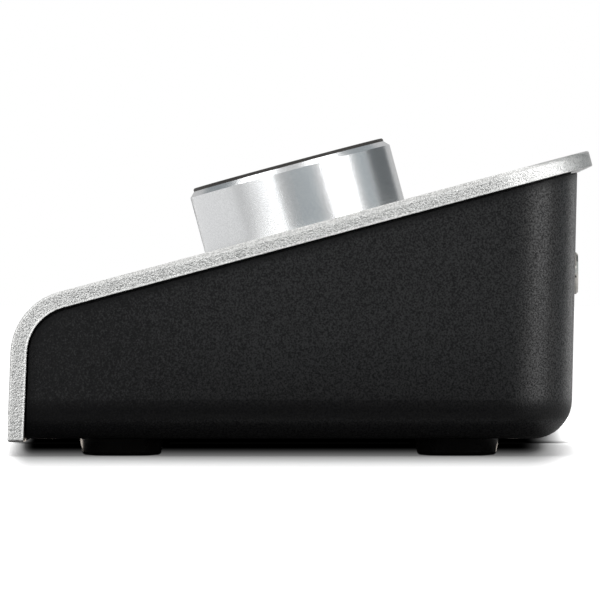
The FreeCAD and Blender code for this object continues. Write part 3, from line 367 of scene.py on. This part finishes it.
# A black veil stands on the floor under the object as a painted shadow, so that the white floor
# beyond it doesn't show through the gap below the housing. It thins out towards its ends and
# towards the floor.
veil_side = 100 * MM
veil_height = 3.7 * MM
veil_step = 52 * MM
veil_rear = 61.3 * MM
veil_tail = 8 * MM
veil_front_fade = (-58 * MM, -64.3 * MM)
veil_rear_fade = (48.7 * MM, 63.6 * MM)
veil_foot_fade = (2.42 * MM, 2.68 * MM)
veil_ease = 1.9
veil_front = cad_box[0][1]
veil = bmesh.new()
corners = [veil.verts.new((veil_side, y, z)) for y, z in (
    (veil_front, 0), (veil_rear, 0), (veil_rear, veil_tail), (veil_step, veil_height),
    (veil_front, veil_height))]
veil.faces.new(corners)
veil_data = bpy.data.meshes.new("painted_shadow_gap_veil")
veil.to_mesh(veil_data)
veil.free()
veil_object = bpy.data.objects.new("painted_shadow_gap_veil", veil_data)
scene.collection.objects.link(veil_object)
painted_shadow_finish = Finish("painted_shadow_veil", (0.0, 0.0, 0.0), 0.0, 1.0, Specular_IOR_Level=0.0)
where = painted_shadow_finish.place()
thin_front = where.part("Y").between(*veil_front_fade)
thin_rear = where.part("Y").between(*veil_rear_fade)
painted_shadow_density = (1 - thin_front ** veil_ease) * (1 - thin_rear ** veil_ease)
painted_shadow_finish.set("Alpha", painted_shadow_density * where.part("Z").between(*veil_foot_fade))
veil_data.materials.append(painted_shadow_finish.material)
veil_object.visible_shadow = False


# The top panel is one thick sheet of aluminium, bent over the front, bead-blasted all over and
# clear anodised, so that its edge shows a fine grain. Its arrises are broken, less so on the leg.
plate_thick = 3.5 * MM
bend_radius = 14.2 * MM
leg_lean = math.radians(2.2)
leg_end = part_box("top_panel")[0][2]
leg_arris = 0.5 * MM
face_arris = 1.3 * MM
end_arris = 0.7 * MM
arris_fade = (-60 * MM, -15 * MM)
burr_width = 0.45 * MM
burr_rise = 0.4
rear_corner = 41 * MM
painted_glare_fade = (rear_corner, rear_corner + 6 * MM)
painted_glare_stop = (55 * MM, 59 * MM)
swing_fade = (rear_corner, 48 * MM)
swing_drop = (49 * MM, 57 * MM)
knob_joint = next(j for j in frame["record"]["behaviour"]["joints"] if j["name"] == "knob_turn")
knob_axis = Vector(knob_joint["axis"]).normalized()
knob_foot = Vector(knob_joint["pos_m"])
slope = math.atan2(-knob_axis.y, knob_axis.z)
face_height = knob_foot.z - knob_foot.y * math.tan(slope)


def below_the_plate(where):
    """Distance in from the plate's outer face, round the bend too."""
    y, z = where.part("Y"), where.part("Z")
    under_face = (face_height - z) * math.cos(slope) + y * math.sin(slope)
    behind_leg = (y - cad_box[0][1]) * math.cos(leg_lean) - (z - leg_end) * math.sin(leg_lean)
    corner = math.pi / 2 - slope - leg_lean
    out_of_face = bend_radius - under_face
    out_of_leg = bend_radius - behind_leg
    toward_leg = (out_of_leg - out_of_face * math.cos(corner)) / math.sin(corner)
    toward_face = (out_of_face - out_of_leg * math.cos(corner)) / math.sin(corner)
    in_bend = toward_leg.above(0.0) * toward_face.above(0.0)
    from_centre = (out_of_face ** 2 + toward_leg ** 2) ** 0.5
    nearer = under_face.math("MINIMUM", under_face, behind_leg)
    return nearer + in_bend * (bend_radius - from_centre - nearer)


plate = Finish("blasted_aluminium", (0.80, 0.81, 0.82), 1.0, 0.42)
where = plate.place()
y = where.part("Y")
inside = below_the_plate(where)
aside = cad_box[1][0] - abs(where.part("X"))
end = where.part("Z") - leg_end
arris = leg_arris + (face_arris - leg_arris) * y.between(*arris_fade)
fall = sum((width - gap).beyond(0.0) ** 2
           for width, gap in ((arris, inside), (arris, aside), (end_arris, end)))
grain = plate.noise(where, 0.34 * MM, 2.0, 0.6).between(0.3, 0.7)
cloud = plate.noise(where, 9 * MM, 2.0)
# Towards the rear corners the side edge is painted lighter: a painted highlight.
painted_glare_end = y.between(*painted_glare_fade) * (1 - y.between(*painted_glare_stop))
plate.set("Base Color", plate.blend(
    grain + 0.8 * painted_glare_end, (0.57, 0.57, 0.56), (0.91, 0.91, 0.895)))
plate.set("Roughness", 0.28 + 0.13 * grain + 0.04 * cloud)
burr = (inside - (plate_thick - burr_width)).beyond(0.0) * burr_rise / MM

# The rear corners are shaded as a little rounder than they are: their edge faces further back.
facing = Wire(plate, plate.nodes.new("ShaderNodeNewGeometry").outputs["Normal"])
sideways = 1 - abs(facing.part("Y") * knob_axis.y + facing.part("Z") * knob_axis.z)
swing = sideways * y.between(*swing_fade) * (0.3 - 0.18 * y.between(*swing_drop))
facing = plate.add("ShaderNodeVectorMath", {"operation": "ADD"},
                   {0: facing, 1: plate.join(0.0, swing, 0.0)})
facing = plate.add("ShaderNodeVectorMath", {"operation": "NORMALIZE"}, {0: facing})
plate.relief(0.065 * grain - fall / (2 * arris * MM) + burr, MM, Normal=facing)
plate.dress("top_panel")


# Two windows of tinted glass lie flush in the plate, bonded to a ledge, with a display under
# each. The glass is printed black round the display's active area, a shade lighter when off.
def on_plate(finish):
    """Coordinates from the knob's foot: to the right, up the plate, and out of it."""
    return finish.place(turn=(-slope, 0, 0), move=-(Matrix.Rotation(-slope, 3, "X") @ knob_foot))


def up_the_plate(name):
    """The middle of a node, in the same coordinates."""
    turn = Matrix.Rotation(-slope, 3, "X")
    spots = [turn @ (nodes[name].matrix_world @ vert.co - knob_foot)
             for vert in nodes[name].data.vertices]
    return Vector([(min(side) + max(side)) / 2 for side in zip(*spots)])


window_middle = up_the_plate("display_glass_right")
window_width = 70 * MM
window_length = 34 * MM
print_border = 4.2 * MM
glass = Finish("tinted_glass", (0.006, 0.006, 0.007), 0.0, 0.05, IOR=1.52)
where = on_plate(glass)
across = abs(abs(where.part("X")) - window_middle.x)
along = abs(where.part("Y") - window_middle.y)
active_width = window_width / 2 - print_border
active_length = window_length / 2 - print_border
active = across.below(active_width) * along.below(active_length)
smear = glass.noise(where, 14 * MM, 3.0, 0.6)
glass.set("Base Color", glass.blend(active, (0.004, 0.004, 0.004), (0.016, 0.018, 0.022)))
glass.set("Roughness", 0.035 + 0.03 * smear * smear)
glass.dress("display_glass_left", "display_glass_right")

display = Finish("display_film", (0.02, 0.02, 0.025), 0.0, 0.2)
where = on_plate(display)
rows = display.noise(where, 0.3 * MM, 1.0)
display.set("Base Color", display.blend(rows, (0.012, 0.012, 0.016), (0.03, 0.03, 0.036)))
display.set("Roughness", 0.15 + 0.1 * rows)
display.dress("display_module_left", "display_module_right")


# Six touch pads, three below each window, are moulded lenses flush in holes of the plate. Each
# has a thin ring printed under its face, and one dot, two or three in the ring to tell them apart.
pad_pitch = 22 * MM
pad_ring = 3.4 * MM
pad_line = 0.3 * MM
dot_radius = 0.42 * MM
dot_pitch = 1.5 * MM
print_depth = 0.5 * MM
pads_up = up_the_plate("touch_pad_lenses").y
pads = Finish("touch_pad_lenses", (0.01, 0.01, 0.011), 0.0, 0.12, IOR=1.49)
where = on_plate(pads)
outward = (abs(where.part("X")) - window_middle.x) / pad_pitch
order = (outward + 0.5).math("FLOOR", outward + 0.5)
off_x = (outward - order) * pad_pitch
off_y = where.part("Y") - pads_up
off_centre = (off_x * off_x + off_y * off_y) ** 0.5
mark = abs(off_centre - pad_ring).below(pad_line / 2)
inner_pad, middle_pad, outer_pad = -1, 0, 1
for step, dotted_pads in ((-1, (outer_pad,)), (-0.5, (middle_pad,)), (0, (inner_pad, outer_pad)),
                          (0.5, (middle_pad,)), (1, (outer_pad,))):
    dot = ((off_x - step * dot_pitch) ** 2 + off_y * off_y) ** 0.5
    shown = sum(order.math("COMPARE", order, pad, 0.25) for pad in dotted_pads)
    mark = mark + dot.below(dot_radius) * shown
on_top = where.part("Z").above(-print_depth)
haze = pads.noise(where, 5 * MM, 3.0)
pads.set("Base Color", pads.blend(mark * on_top, (0.008, 0.008, 0.009), (0.55, 0.56, 0.58)))
pads.set("Roughness", 0.08 + 0.08 * haze)
pads.dress("touch_pad_lenses")


# The knob's shell is turned from aluminium bar, chamfered and satin polished, with faint tool
# marks round it. It is pushed on a hub, and a moulded disc closes its top.
turned = Finish("turned_aluminium", (0.86, 0.87, 0.88), 1.0, 0.2)
where = on_plate(turned)
radius = (where.part("X") ** 2 + where.part("Y") ** 2) ** 0.5
marks = turned.noise(turned.join(radius, where.part("Z"), 0.0), 0.12 * MM, 3.0, 0.65)
satin = turned.noise(where, 0.32 * MM, 2.0).between(0.3, 0.7)
polish = turned.noise(where, 6 * MM, 2.0)
turned.set("Base Color", turned.blend(satin, (0.81, 0.82, 0.83), (0.92, 0.93, 0.94)))
turned.set("Roughness", 0.17 + 0.05 * marks + 0.04 * polish)
turned.relief(marks + 2.0 * satin, 0.002 * MM)
turned.dress("knob_shell")

disc = Finish("knob_disc_plastic", (0.05, 0.045, 0.04), 0.0, 0.5, Specular_IOR_Level=0.3)
where = on_plate(disc)
radius = (where.part("X") ** 2 + where.part("Y") ** 2) ** 0.5
marks = disc.noise(disc.join(radius, where.part("Z"), 0.0), 0.25 * MM, 3.0, 0.6)
dust = disc.noise(where, 0.4 * MM, 2.0)
disc.set("Base Color", disc.blend(marks, (0.030, 0.028, 0.026), (0.060, 0.055, 0.050)))
disc.set("Roughness", 0.45 + 0.12 * marks + 0.08 * dust)
disc.relief(marks, 0.006 * MM, 0.6)
disc.dress("knob_cap")


# Under the knob sit the moulded hub with its spring clip, and the encoder: a moulded body held
# through the plate by a zinc-plated nut and washer, a push switch, and a turned brass shaft.
def moulded(name, colour, roughness, grain_size, depth, *pieces):
    """Moulded plastic, evenly coloured, with the fine grain of its mould."""
    finish = Finish(name, colour, 0.0, roughness)
    where = finish.place()
    grain = finish.noise(where, grain_size, 2.0, 0.6)
    flow = finish.noise(where, 5 * MM, 2.0)
    darker, paler = [tuple(level * c for c in colour) for level in (0.7, 1.35)]
    finish.set("Base Color", finish.blend(0.7 * grain + 0.3 * flow, darker, paler))
    finish.set("Roughness", roughness - 0.06 + 0.08 * grain + 0.06 * flow)
    finish.relief(grain, depth)
    finish.dress(*pieces)


def metal(name, colour, roughness, stretch, *pieces):
    """Bare or plated metal, with marks drawn out along the stretched axes."""
    finish = Finish(name, colour, 1.0, roughness)
    scratches = finish.noise(finish.place(scale=stretch), 0.15 * MM, 3.0, 0.6)
    tarnish = finish.noise(finish.place(), 2 * MM, 3.0)
    darker, paler = [tuple(level * c for c in colour) for level in (0.82, 1.1)]
    finish.set("Base Color", finish.blend(0.5 * scratches + 0.5 * tarnish, darker, paler))
    finish.set("Roughness", roughness - 0.06 + 0.08 * scratches + 0.06 * tarnish)
    finish.relief(scratches, 0.004 * MM)
    finish.dress(*pieces)
    return finish


moulded("filled_plastic", (0.016, 0.016, 0.017), 0.5, 0.5 * MM, 0.02 * MM,
        "knob_hub", "encoder_body", "encoder_plunger")
metal("spring_steel", (0.42, 0.42, 0.43), 0.28, (1, 1, 0.2), "knob_clip")
metal("zinc_plate", (0.62, 0.64, 0.68), 0.3, (1, 1, 1), "encoder_nut", "encoder_washer")
metal("turned_brass", (0.78, 0.57, 0.28), 0.24, (0.1, 0.1, 1),
      "encoder_shaft", "output_board_spacers")


# The lower housing is one black moulding with a fine spark-eroded texture. Six black screws
# reach up through its towers into the plate's bosses and hold the two together.
# The coat's sheen fades as painted shade under the plate, towards the front and above the foot.
rim_shade = (plate_thick + 0.2 * MM, plate_thick + 2.9 * MM)
painted_front_shade_fade = (-80 * MM, -5 * MM)
painted_dark_band = (7.4 * MM, 8.6 * MM)
painted_dark_band_end = (10 * MM, 14 * MM)
housing = Finish("moulded_housing", (0.006, 0.006, 0.0065), 0.0, 0.45,
                 Specular_IOR_Level=0.2, Coat_Roughness=0.32)
where = housing.place()
bumps = housing.noise(where, 0.37 * MM, 3.0, 0.55)
texture = bumps.between(0.3, 0.7)
mottle = housing.noise(where, 3 * MM, 2.0)
housing.set("Base Color", housing.blend(
    texture, (0.0045, 0.0045, 0.005), (0.009, 0.009, 0.0095)))
housing.set("Roughness", 0.30 + 0.08 * texture + 0.06 * mottle)
# Painted shade: less sheen just under the plate, towards the front and in a band above the foot.
painted_rim_shade = below_the_plate(where).between(*rim_shade)
painted_front_shade = 1 - where.part("Y").between(*painted_front_shade_fade)
height = where.part("Z")
painted_foot_shade = 1 - 0.8 * height.between(*painted_dark_band) * (1 - height.between(*painted_dark_band_end))
texture_sheen_and_painted_shade = (bumps - 0.2 * painted_front_shade).between(0.32, 0.68)
housing.set("Coat Weight", texture_sheen_and_painted_shade * painted_rim_shade * painted_foot_shade)
housing.relief(texture, 0.03 * MM)
housing.dress("lower_housing")

metal("black_oxide", (0.05, 0.05, 0.055), 0.4, (1, 1, 1), "housing_screws")


# Four soft rubber feet are pushed into round pockets under the housing. Their soles are slightly
# domed and pick up dust from the table.
rubber = Finish("foot_rubber", (0.004, 0.004, 0.004), 0.0, 0.3, Specular_IOR_Level=0.15)
where = rubber.place()
dust = rubber.noise(where, 0.5 * MM, 3.0)
sole = 1 - where.part("Z").between(0.0, 0.5 * MM)
rubber.set("Base Color", rubber.blend(
    dust + 0.4 * sole, (0.003, 0.003, 0.003), (0.008, 0.0075, 0.007)))
rubber.set("Roughness", 0.2 + 0.1 * dust + 0.3 * sole)
rubber.relief(dust, 0.01 * MM, 0.3)
rubber.dress("foot_front_left", "foot_front_right", "foot_rear_left", "foot_rear_right")


# Three glass-fibre boards carry the electronics: the main one on bosses of the housing, one under
# the plate, one on spacers for the line sockets. Green mask covers the copper tracks.
track_field = 2.4 * MM
tracks_in_field = 3.0
track_share = 0.16
hole_field = 4.1 * MM
hole_share = 0.09
board = Finish("board_laminate", (0.01, 0.06, 0.03), 0.0, 0.35)
where = board.place()
tracks = board.add("ShaderNodeTexVoronoi", {"distance": "CHEBYCHEV", "feature": "F1"},
                   {"Vector": where, "Scale": 1 / track_field})
track = abs(tracks.math("FRACT", tracks * tracks_in_field) - 0.5).below(track_share)
holes = board.cells(where, hole_field).below(hole_share)
weave = board.noise(board.place(scale=(1, 3, 1)), 0.4 * MM, 2.0)
masked = board.blend(track, (0.006, 0.040, 0.020), (0.016, 0.085, 0.042))
board.set("Base Color", board.blend(holes, masked, (0.45, 0.40, 0.30)))
board.set("Roughness", 0.32 + 0.12 * weave)
board.relief(track, 0.02 * MM)
board.dress("main_board", "control_board", "output_board")

metal("plated_screws", (0.60, 0.61, 0.63), 0.28, (1, 1, 1),
      "main_board_screws", "control_board_screws", "output_board_screws")


# Soldered to the boards are chips in black epoxy, white relays, sleeved aluminium capacitors,
# cream connectors with a grey ribbon cable between them, and a pierced shield can of tinned steel.
moulded("chip_epoxy", (0.014, 0.014, 0.015), 0.6, 0.2 * MM, 0.01 * MM, "chips")
moulded("relay_plastic", (0.55, 0.54, 0.50), 0.4, 0.6 * MM, 0.01 * MM, "relays")
moulded("connector_nylon", (0.62, 0.56, 0.42), 0.45, 0.5 * MM, 0.01 * MM, "board_connectors")

sleeve = Finish("capacitor_sleeve", (0.02, 0.03, 0.07), 0.0, 0.3)
where = sleeve.place()
wrinkles = sleeve.noise(where, 1.2 * MM, 2.0)
can_top = where.part("Z").above(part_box("capacitors")[1][2] - 0.3 * MM)
sleeve.set("Base Color", sleeve.blend(can_top, (0.014, 0.020, 0.050), (0.80, 0.80, 0.81)))
sleeve.set("Metallic", can_top)
sleeve.set("Roughness", 0.28 + 0.14 * wrinkles)
sleeve.relief(wrinkles, 0.03 * MM)
sleeve.dress("capacitors")

# Whole pitches are added before a fraction is taken, so that it is never of a negative number.
past_zero = 32.0
wire_pitch = 1.27 * MM
ribbon = Finish("ribbon_vinyl", (0.30, 0.30, 0.31), 0.0, 0.45)
where = ribbon.place()
wires = where.part("X") / wire_pitch
round_wire = abs(wires.math("FRACT", wires + past_zero) - 0.5)
edge_wire = where.part("X").below(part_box("ribbon_cable")[0][0] + wire_pitch)
ribbon.set("Base Color", ribbon.blend(edge_wire, (0.30, 0.30, 0.31), (0.42, 0.03, 0.02)))
ribbon.set("Roughness", 0.38 + 0.2 * round_wire)
ribbon.relief(0.5 - round_wire, 0.25 * MM)
ribbon.dress("ribbon_cable")

vent_pitch = 5 * MM
vent_share = 0.018
can_face = 18.9 * MM
can = Finish("tinned_steel", (0.62, 0.62, 0.60), 1.0, 0.3)
where = can.place()
vent_x = where.part("X").math("FRACT", where.part("X") / vent_pitch + past_zero) - 0.5
vent_y = where.part("Y").math("FRACT", where.part("Y") / vent_pitch + past_zero) - 0.5
# The vent holes aren't cut; they are painted black, a painted shade where each hole is.
vent_hole_shade = (vent_x * vent_x + vent_y * vent_y).below(vent_share) * where.part("Z").above(can_face)
spangle = can.noise(where, 3 * MM, 3.0)
tin = can.blend(spangle, (0.52, 0.52, 0.50), (0.68, 0.68, 0.66))
can.set("Base Color", can.blend(vent_hole_shade, tin, (0.01, 0.01, 0.01)))
can.set("Metallic", 1 - vent_hole_shade)
can.set("Roughness", 0.24 + 0.2 * spangle)
can.dress("shield_can")


# The rear panel is bent from steel sheet, powder coated matt black, and let in behind the edge
# of the housing's window. It is screwed to two ledges with four countersunk hexagon screws.
coat = Finish("powder_coat", (0.012, 0.012, 0.013), 0.0, 0.55)
where = coat.place()
orange_peel = coat.noise(where, 0.5 * MM, 2.0).between(0.3, 0.7)
coat.set("Base Color", coat.blend(orange_peel, (0.010, 0.010, 0.011), (0.020, 0.020, 0.021)))
coat.set("Roughness", 0.42 + 0.15 * orange_peel)
coat.relief(orange_peel, 0.04 * MM)
coat.dress("rear_panel")

screw_head = 2.3 * MM
screw_shank = 1.25 * MM
screw_brim = 0.15 * MM
recess_radius = 1.25 * MM
recess_depth = 1.1 * MM
recess_taper = 0.92
screws_low, screws_high = [Vector(corner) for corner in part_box("rear_panel_screws")]
screw_length = screws_high.y - screws_low.y
screws = bmesh.new()
bmesh.ops.create_circle(screws, segments=6, radius=recess_radius)
bmesh.ops.subdivide_edges(screws, edges=screws.edges, cuts=3)
hexagon = list(screws.edges)
bmesh.ops.create_circle(screws, segments=24, radius=screw_head)
rim = [edge for edge in screws.edges if edge not in hexagon]
bmesh.ops.bridge_loops(screws, edges=hexagon + rim)
taper = screw_head - screw_shank
outside = ((-screw_brim, 1), (-taper, screw_shank / screw_head),
           (screw_brim + taper - screw_length, 1))
recess = ((-recess_depth, recess_taper),)
for loop, steps in ((rim, outside), (hexagon, recess)):
    for drop, shrink in steps:
        grown = bmesh.ops.extrude_edge_only(screws, edges=loop)["geom"]
        ring = [item for item in grown if isinstance(item, bmesh.types.BMVert)]
        loop = [item for item in grown if isinstance(item, bmesh.types.BMEdge)]
        bmesh.ops.scale(screws, verts=ring, vec=(shrink, shrink, 1))
        bmesh.ops.translate(screws, verts=ring, vec=(0, 0, drop))
    bmesh.ops.contextual_create(screws, geom=[edge for edge in loop if edge.is_boundary])
bmesh.ops.recalc_face_normals(screws, faces=screws.faces)
bmesh.ops.rotate(screws, verts=screws.verts, matrix=Matrix.Rotation(-math.pi / 2, 3, "X"))
first = list(screws.verts) + list(screws.edges) + list(screws.faces)
left, low = screws_low.x + screw_head, screws_low.z + screw_head
right, high = screws_high.x - screw_head, screws_high.z - screw_head
for x, z in ((left, high), (right, low), (right, high)):
    copy = bmesh.ops.duplicate(screws, geom=first)["geom"]
    corners = [item for item in copy if isinstance(item, bmesh.types.BMVert)]
    bmesh.ops.translate(screws, verts=corners, vec=(x - left, 0, z - low))
bmesh.ops.translate(screws, verts=screws.verts, vec=(left, screws_high.y, low))
screw_data = bpy.data.meshes.new("rear_hexagon_screws")
screws.to_mesh(screw_data)
screws.free()
screw_piece = bpy.data.objects.new("rear_hexagon_screws", screw_data)
scene.collection.objects.link(screw_piece)
screw_data.materials.append(metal("blackened_screws", (0.11, 0.11, 0.115), 0.3, (1, 1, 1)).material)
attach(screw_piece, "case")
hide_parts("rear_panel_screws")


# Six line sockets stand in a row at the rear and one headphone socket at the left side, in a
# square moulded bezel. Each is a black moulded body with a turned, nickel-plated collar.
moulded("socket_plastic", (0.010, 0.010, 0.011), 0.38, 0.6 * MM, 0.008 * MM,
        "line_jack_bodies", "headphone_jack_body", "dc_jack_body", "optical_housings")
moulded("bezel_plastic", (0.008, 0.008, 0.009), 0.45, 0.35 * MM, 0.03 * MM, "headphone_bezel")

nickel = Finish("bright_nickel", (0.80, 0.77, 0.72), 1.0, 0.1)
where = nickel.place()
rings = nickel.noise(nickel.join(0.0, where.part("Y"), 0.0), 0.1 * MM, 2.0)
tarnish = nickel.noise(where, 1.5 * MM, 3.0)
nickel.set("Base Color", nickel.blend(tarnish, (0.72, 0.69, 0.64), (0.88, 0.86, 0.82)))
nickel.set("Roughness", 0.08 + 0.08 * rings)
nickel.relief(rings, 0.003 * MM)
nickel.dress("line_jack_collars", "headphone_jack_collar", "dc_jack_pin")


# Four combined sockets for microphone plugs and jacks: a glass-filled shell behind a round
# opening of the panel, an insert with plated sleeves, and a steel latch at the top of the mouth.
moulded("combo_plastic", (0.011, 0.011, 0.012), 0.42, 0.4 * MM, 0.015 * MM, "combo_shells")
moulded("insert_plastic", (0.014, 0.014, 0.015), 0.35, 0.5 * MM, 0.008 * MM, "combo_inserts")
metal("contact_gold", (0.86, 0.64, 0.30), 0.2, (1, 0.2, 1), "combo_contacts")

latch_width = 4.0 * MM
latch_thick = 1.1 * MM
latch_length = 6.5 * MM
latch_edge = 0.15 * MM
latch_ramp = 0.6
latch_sunk = 0.65 * MM
combo_mouth = 10 * MM
combo_side = 7.88 * MM
combo_pitch = 26.5 * MM
combo_count = 4
combo_low, combo_high = [Vector(corner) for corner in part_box("combo_inserts")]
latches = bmesh.new()
for number in range(combo_count):
    before = set(latches.verts)
    bmesh.ops.create_cube(latches, size=1)
    made = [vert for vert in latches.verts if vert not in before]
    bmesh.ops.scale(latches, verts=made, vec=(latch_width, latch_length, latch_thick))
    for vert in made:
        if vert.co.y > 0 and vert.co.z < 0:
            vert.co.z += latch_ramp * latch_thick
    bmesh.ops.translate(latches, verts=made, vec=(
        combo_low.x + combo_side + number * combo_pitch, combo_high.y - latch_length / 2,
        (combo_low.z + combo_high.z) / 2 + combo_mouth - latch_sunk))
bmesh.ops.bevel(latches, geom=latches.edges, offset=latch_edge, offset_type="OFFSET",
                affect="EDGES", segments=2, profile=0.5, material=-1)
latch_data = bpy.data.meshes.new("combo_latches")
latches.to_mesh(latch_data)
latches.free()
latch_piece = bpy.data.objects.new("combo_latches", latch_data)
scene.collection.objects.link(latch_piece)
latch_data.materials.append(metal("latch_steel", (0.58, 0.58, 0.58), 0.25, (0.3, 1, 1)).material)
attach(latch_piece, "case")


# The two digital sockets have folded, tin-plated steel shells and moulded tongues. Gold-plated
# contacts lie on the tongues: two above and two below in the square one, four below in the flat.
metal("folded_steel", (0.66, 0.66, 0.65), 0.26, (1, 0.2, 1), "usb_b_shell", "usb_a_shell")
moulded("tongue_nylon", (0.02, 0.02, 0.021), 0.45, 0.5 * MM, 0.01 * MM, "usb_b_tongue")
moulded("white_tongue_nylon", (0.60, 0.60, 0.58), 0.45, 0.5 * MM, 0.01 * MM, "usb_a_tongue")
contact_thick = 0.16 * MM
contact_short = 1.4 * MM
strips = bmesh.new()
# Each contact's way from the middle in millimetres and 1 if it lies above, and the contacts' width.
for tongue, places, width in (
        ("usb_b_tongue", ((-1.25, 1), (1.25, 1), (-1.25, 0), (1.25, 0)), 1.3 * MM),
        ("usb_a_tongue", ((-3.5, 0), (-1.0, 0), (1.0, 0), (3.5, 0)), 1.0 * MM)):
    low, high = [Vector(corner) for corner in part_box(tongue)]
    for offset, upper in places:
        before = set(strips.verts)
        bmesh.ops.create_cube(strips, size=1)
        made = [vert for vert in strips.verts if vert not in before]
        contact_length = high.y - low.y - contact_short
        bmesh.ops.scale(strips, verts=made, vec=(width, contact_length, contact_thick))
        bmesh.ops.translate(strips, verts=made, vec=(
            (low.x + high.x) / 2 + offset * MM, (low.y + high.y) / 2, high.z if upper else low.z))
strip_data = bpy.data.meshes.new("digital_contacts")
strips.to_mesh(strip_data)
strips.free()
strip_piece = bpy.data.objects.new("digital_contacts", strip_data)
scene.collection.objects.link(strip_piece)
plating = metal("contact_plating", (0.88, 0.67, 0.32), 0.18, (1, 0.2, 1))
strip_data.materials.append(plating.material)
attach(strip_piece, "case")


# Each optical socket has a sprung flap hinged inside its mouth, moulded in a dark grey plastic
# that shows against the socket's black.
moulded("flap_plastic", (0.030, 0.030, 0.032), 0.4, 0.4 * MM, 0.01 * MM,
        "optical_shutter_1", "optical_shutter_2")
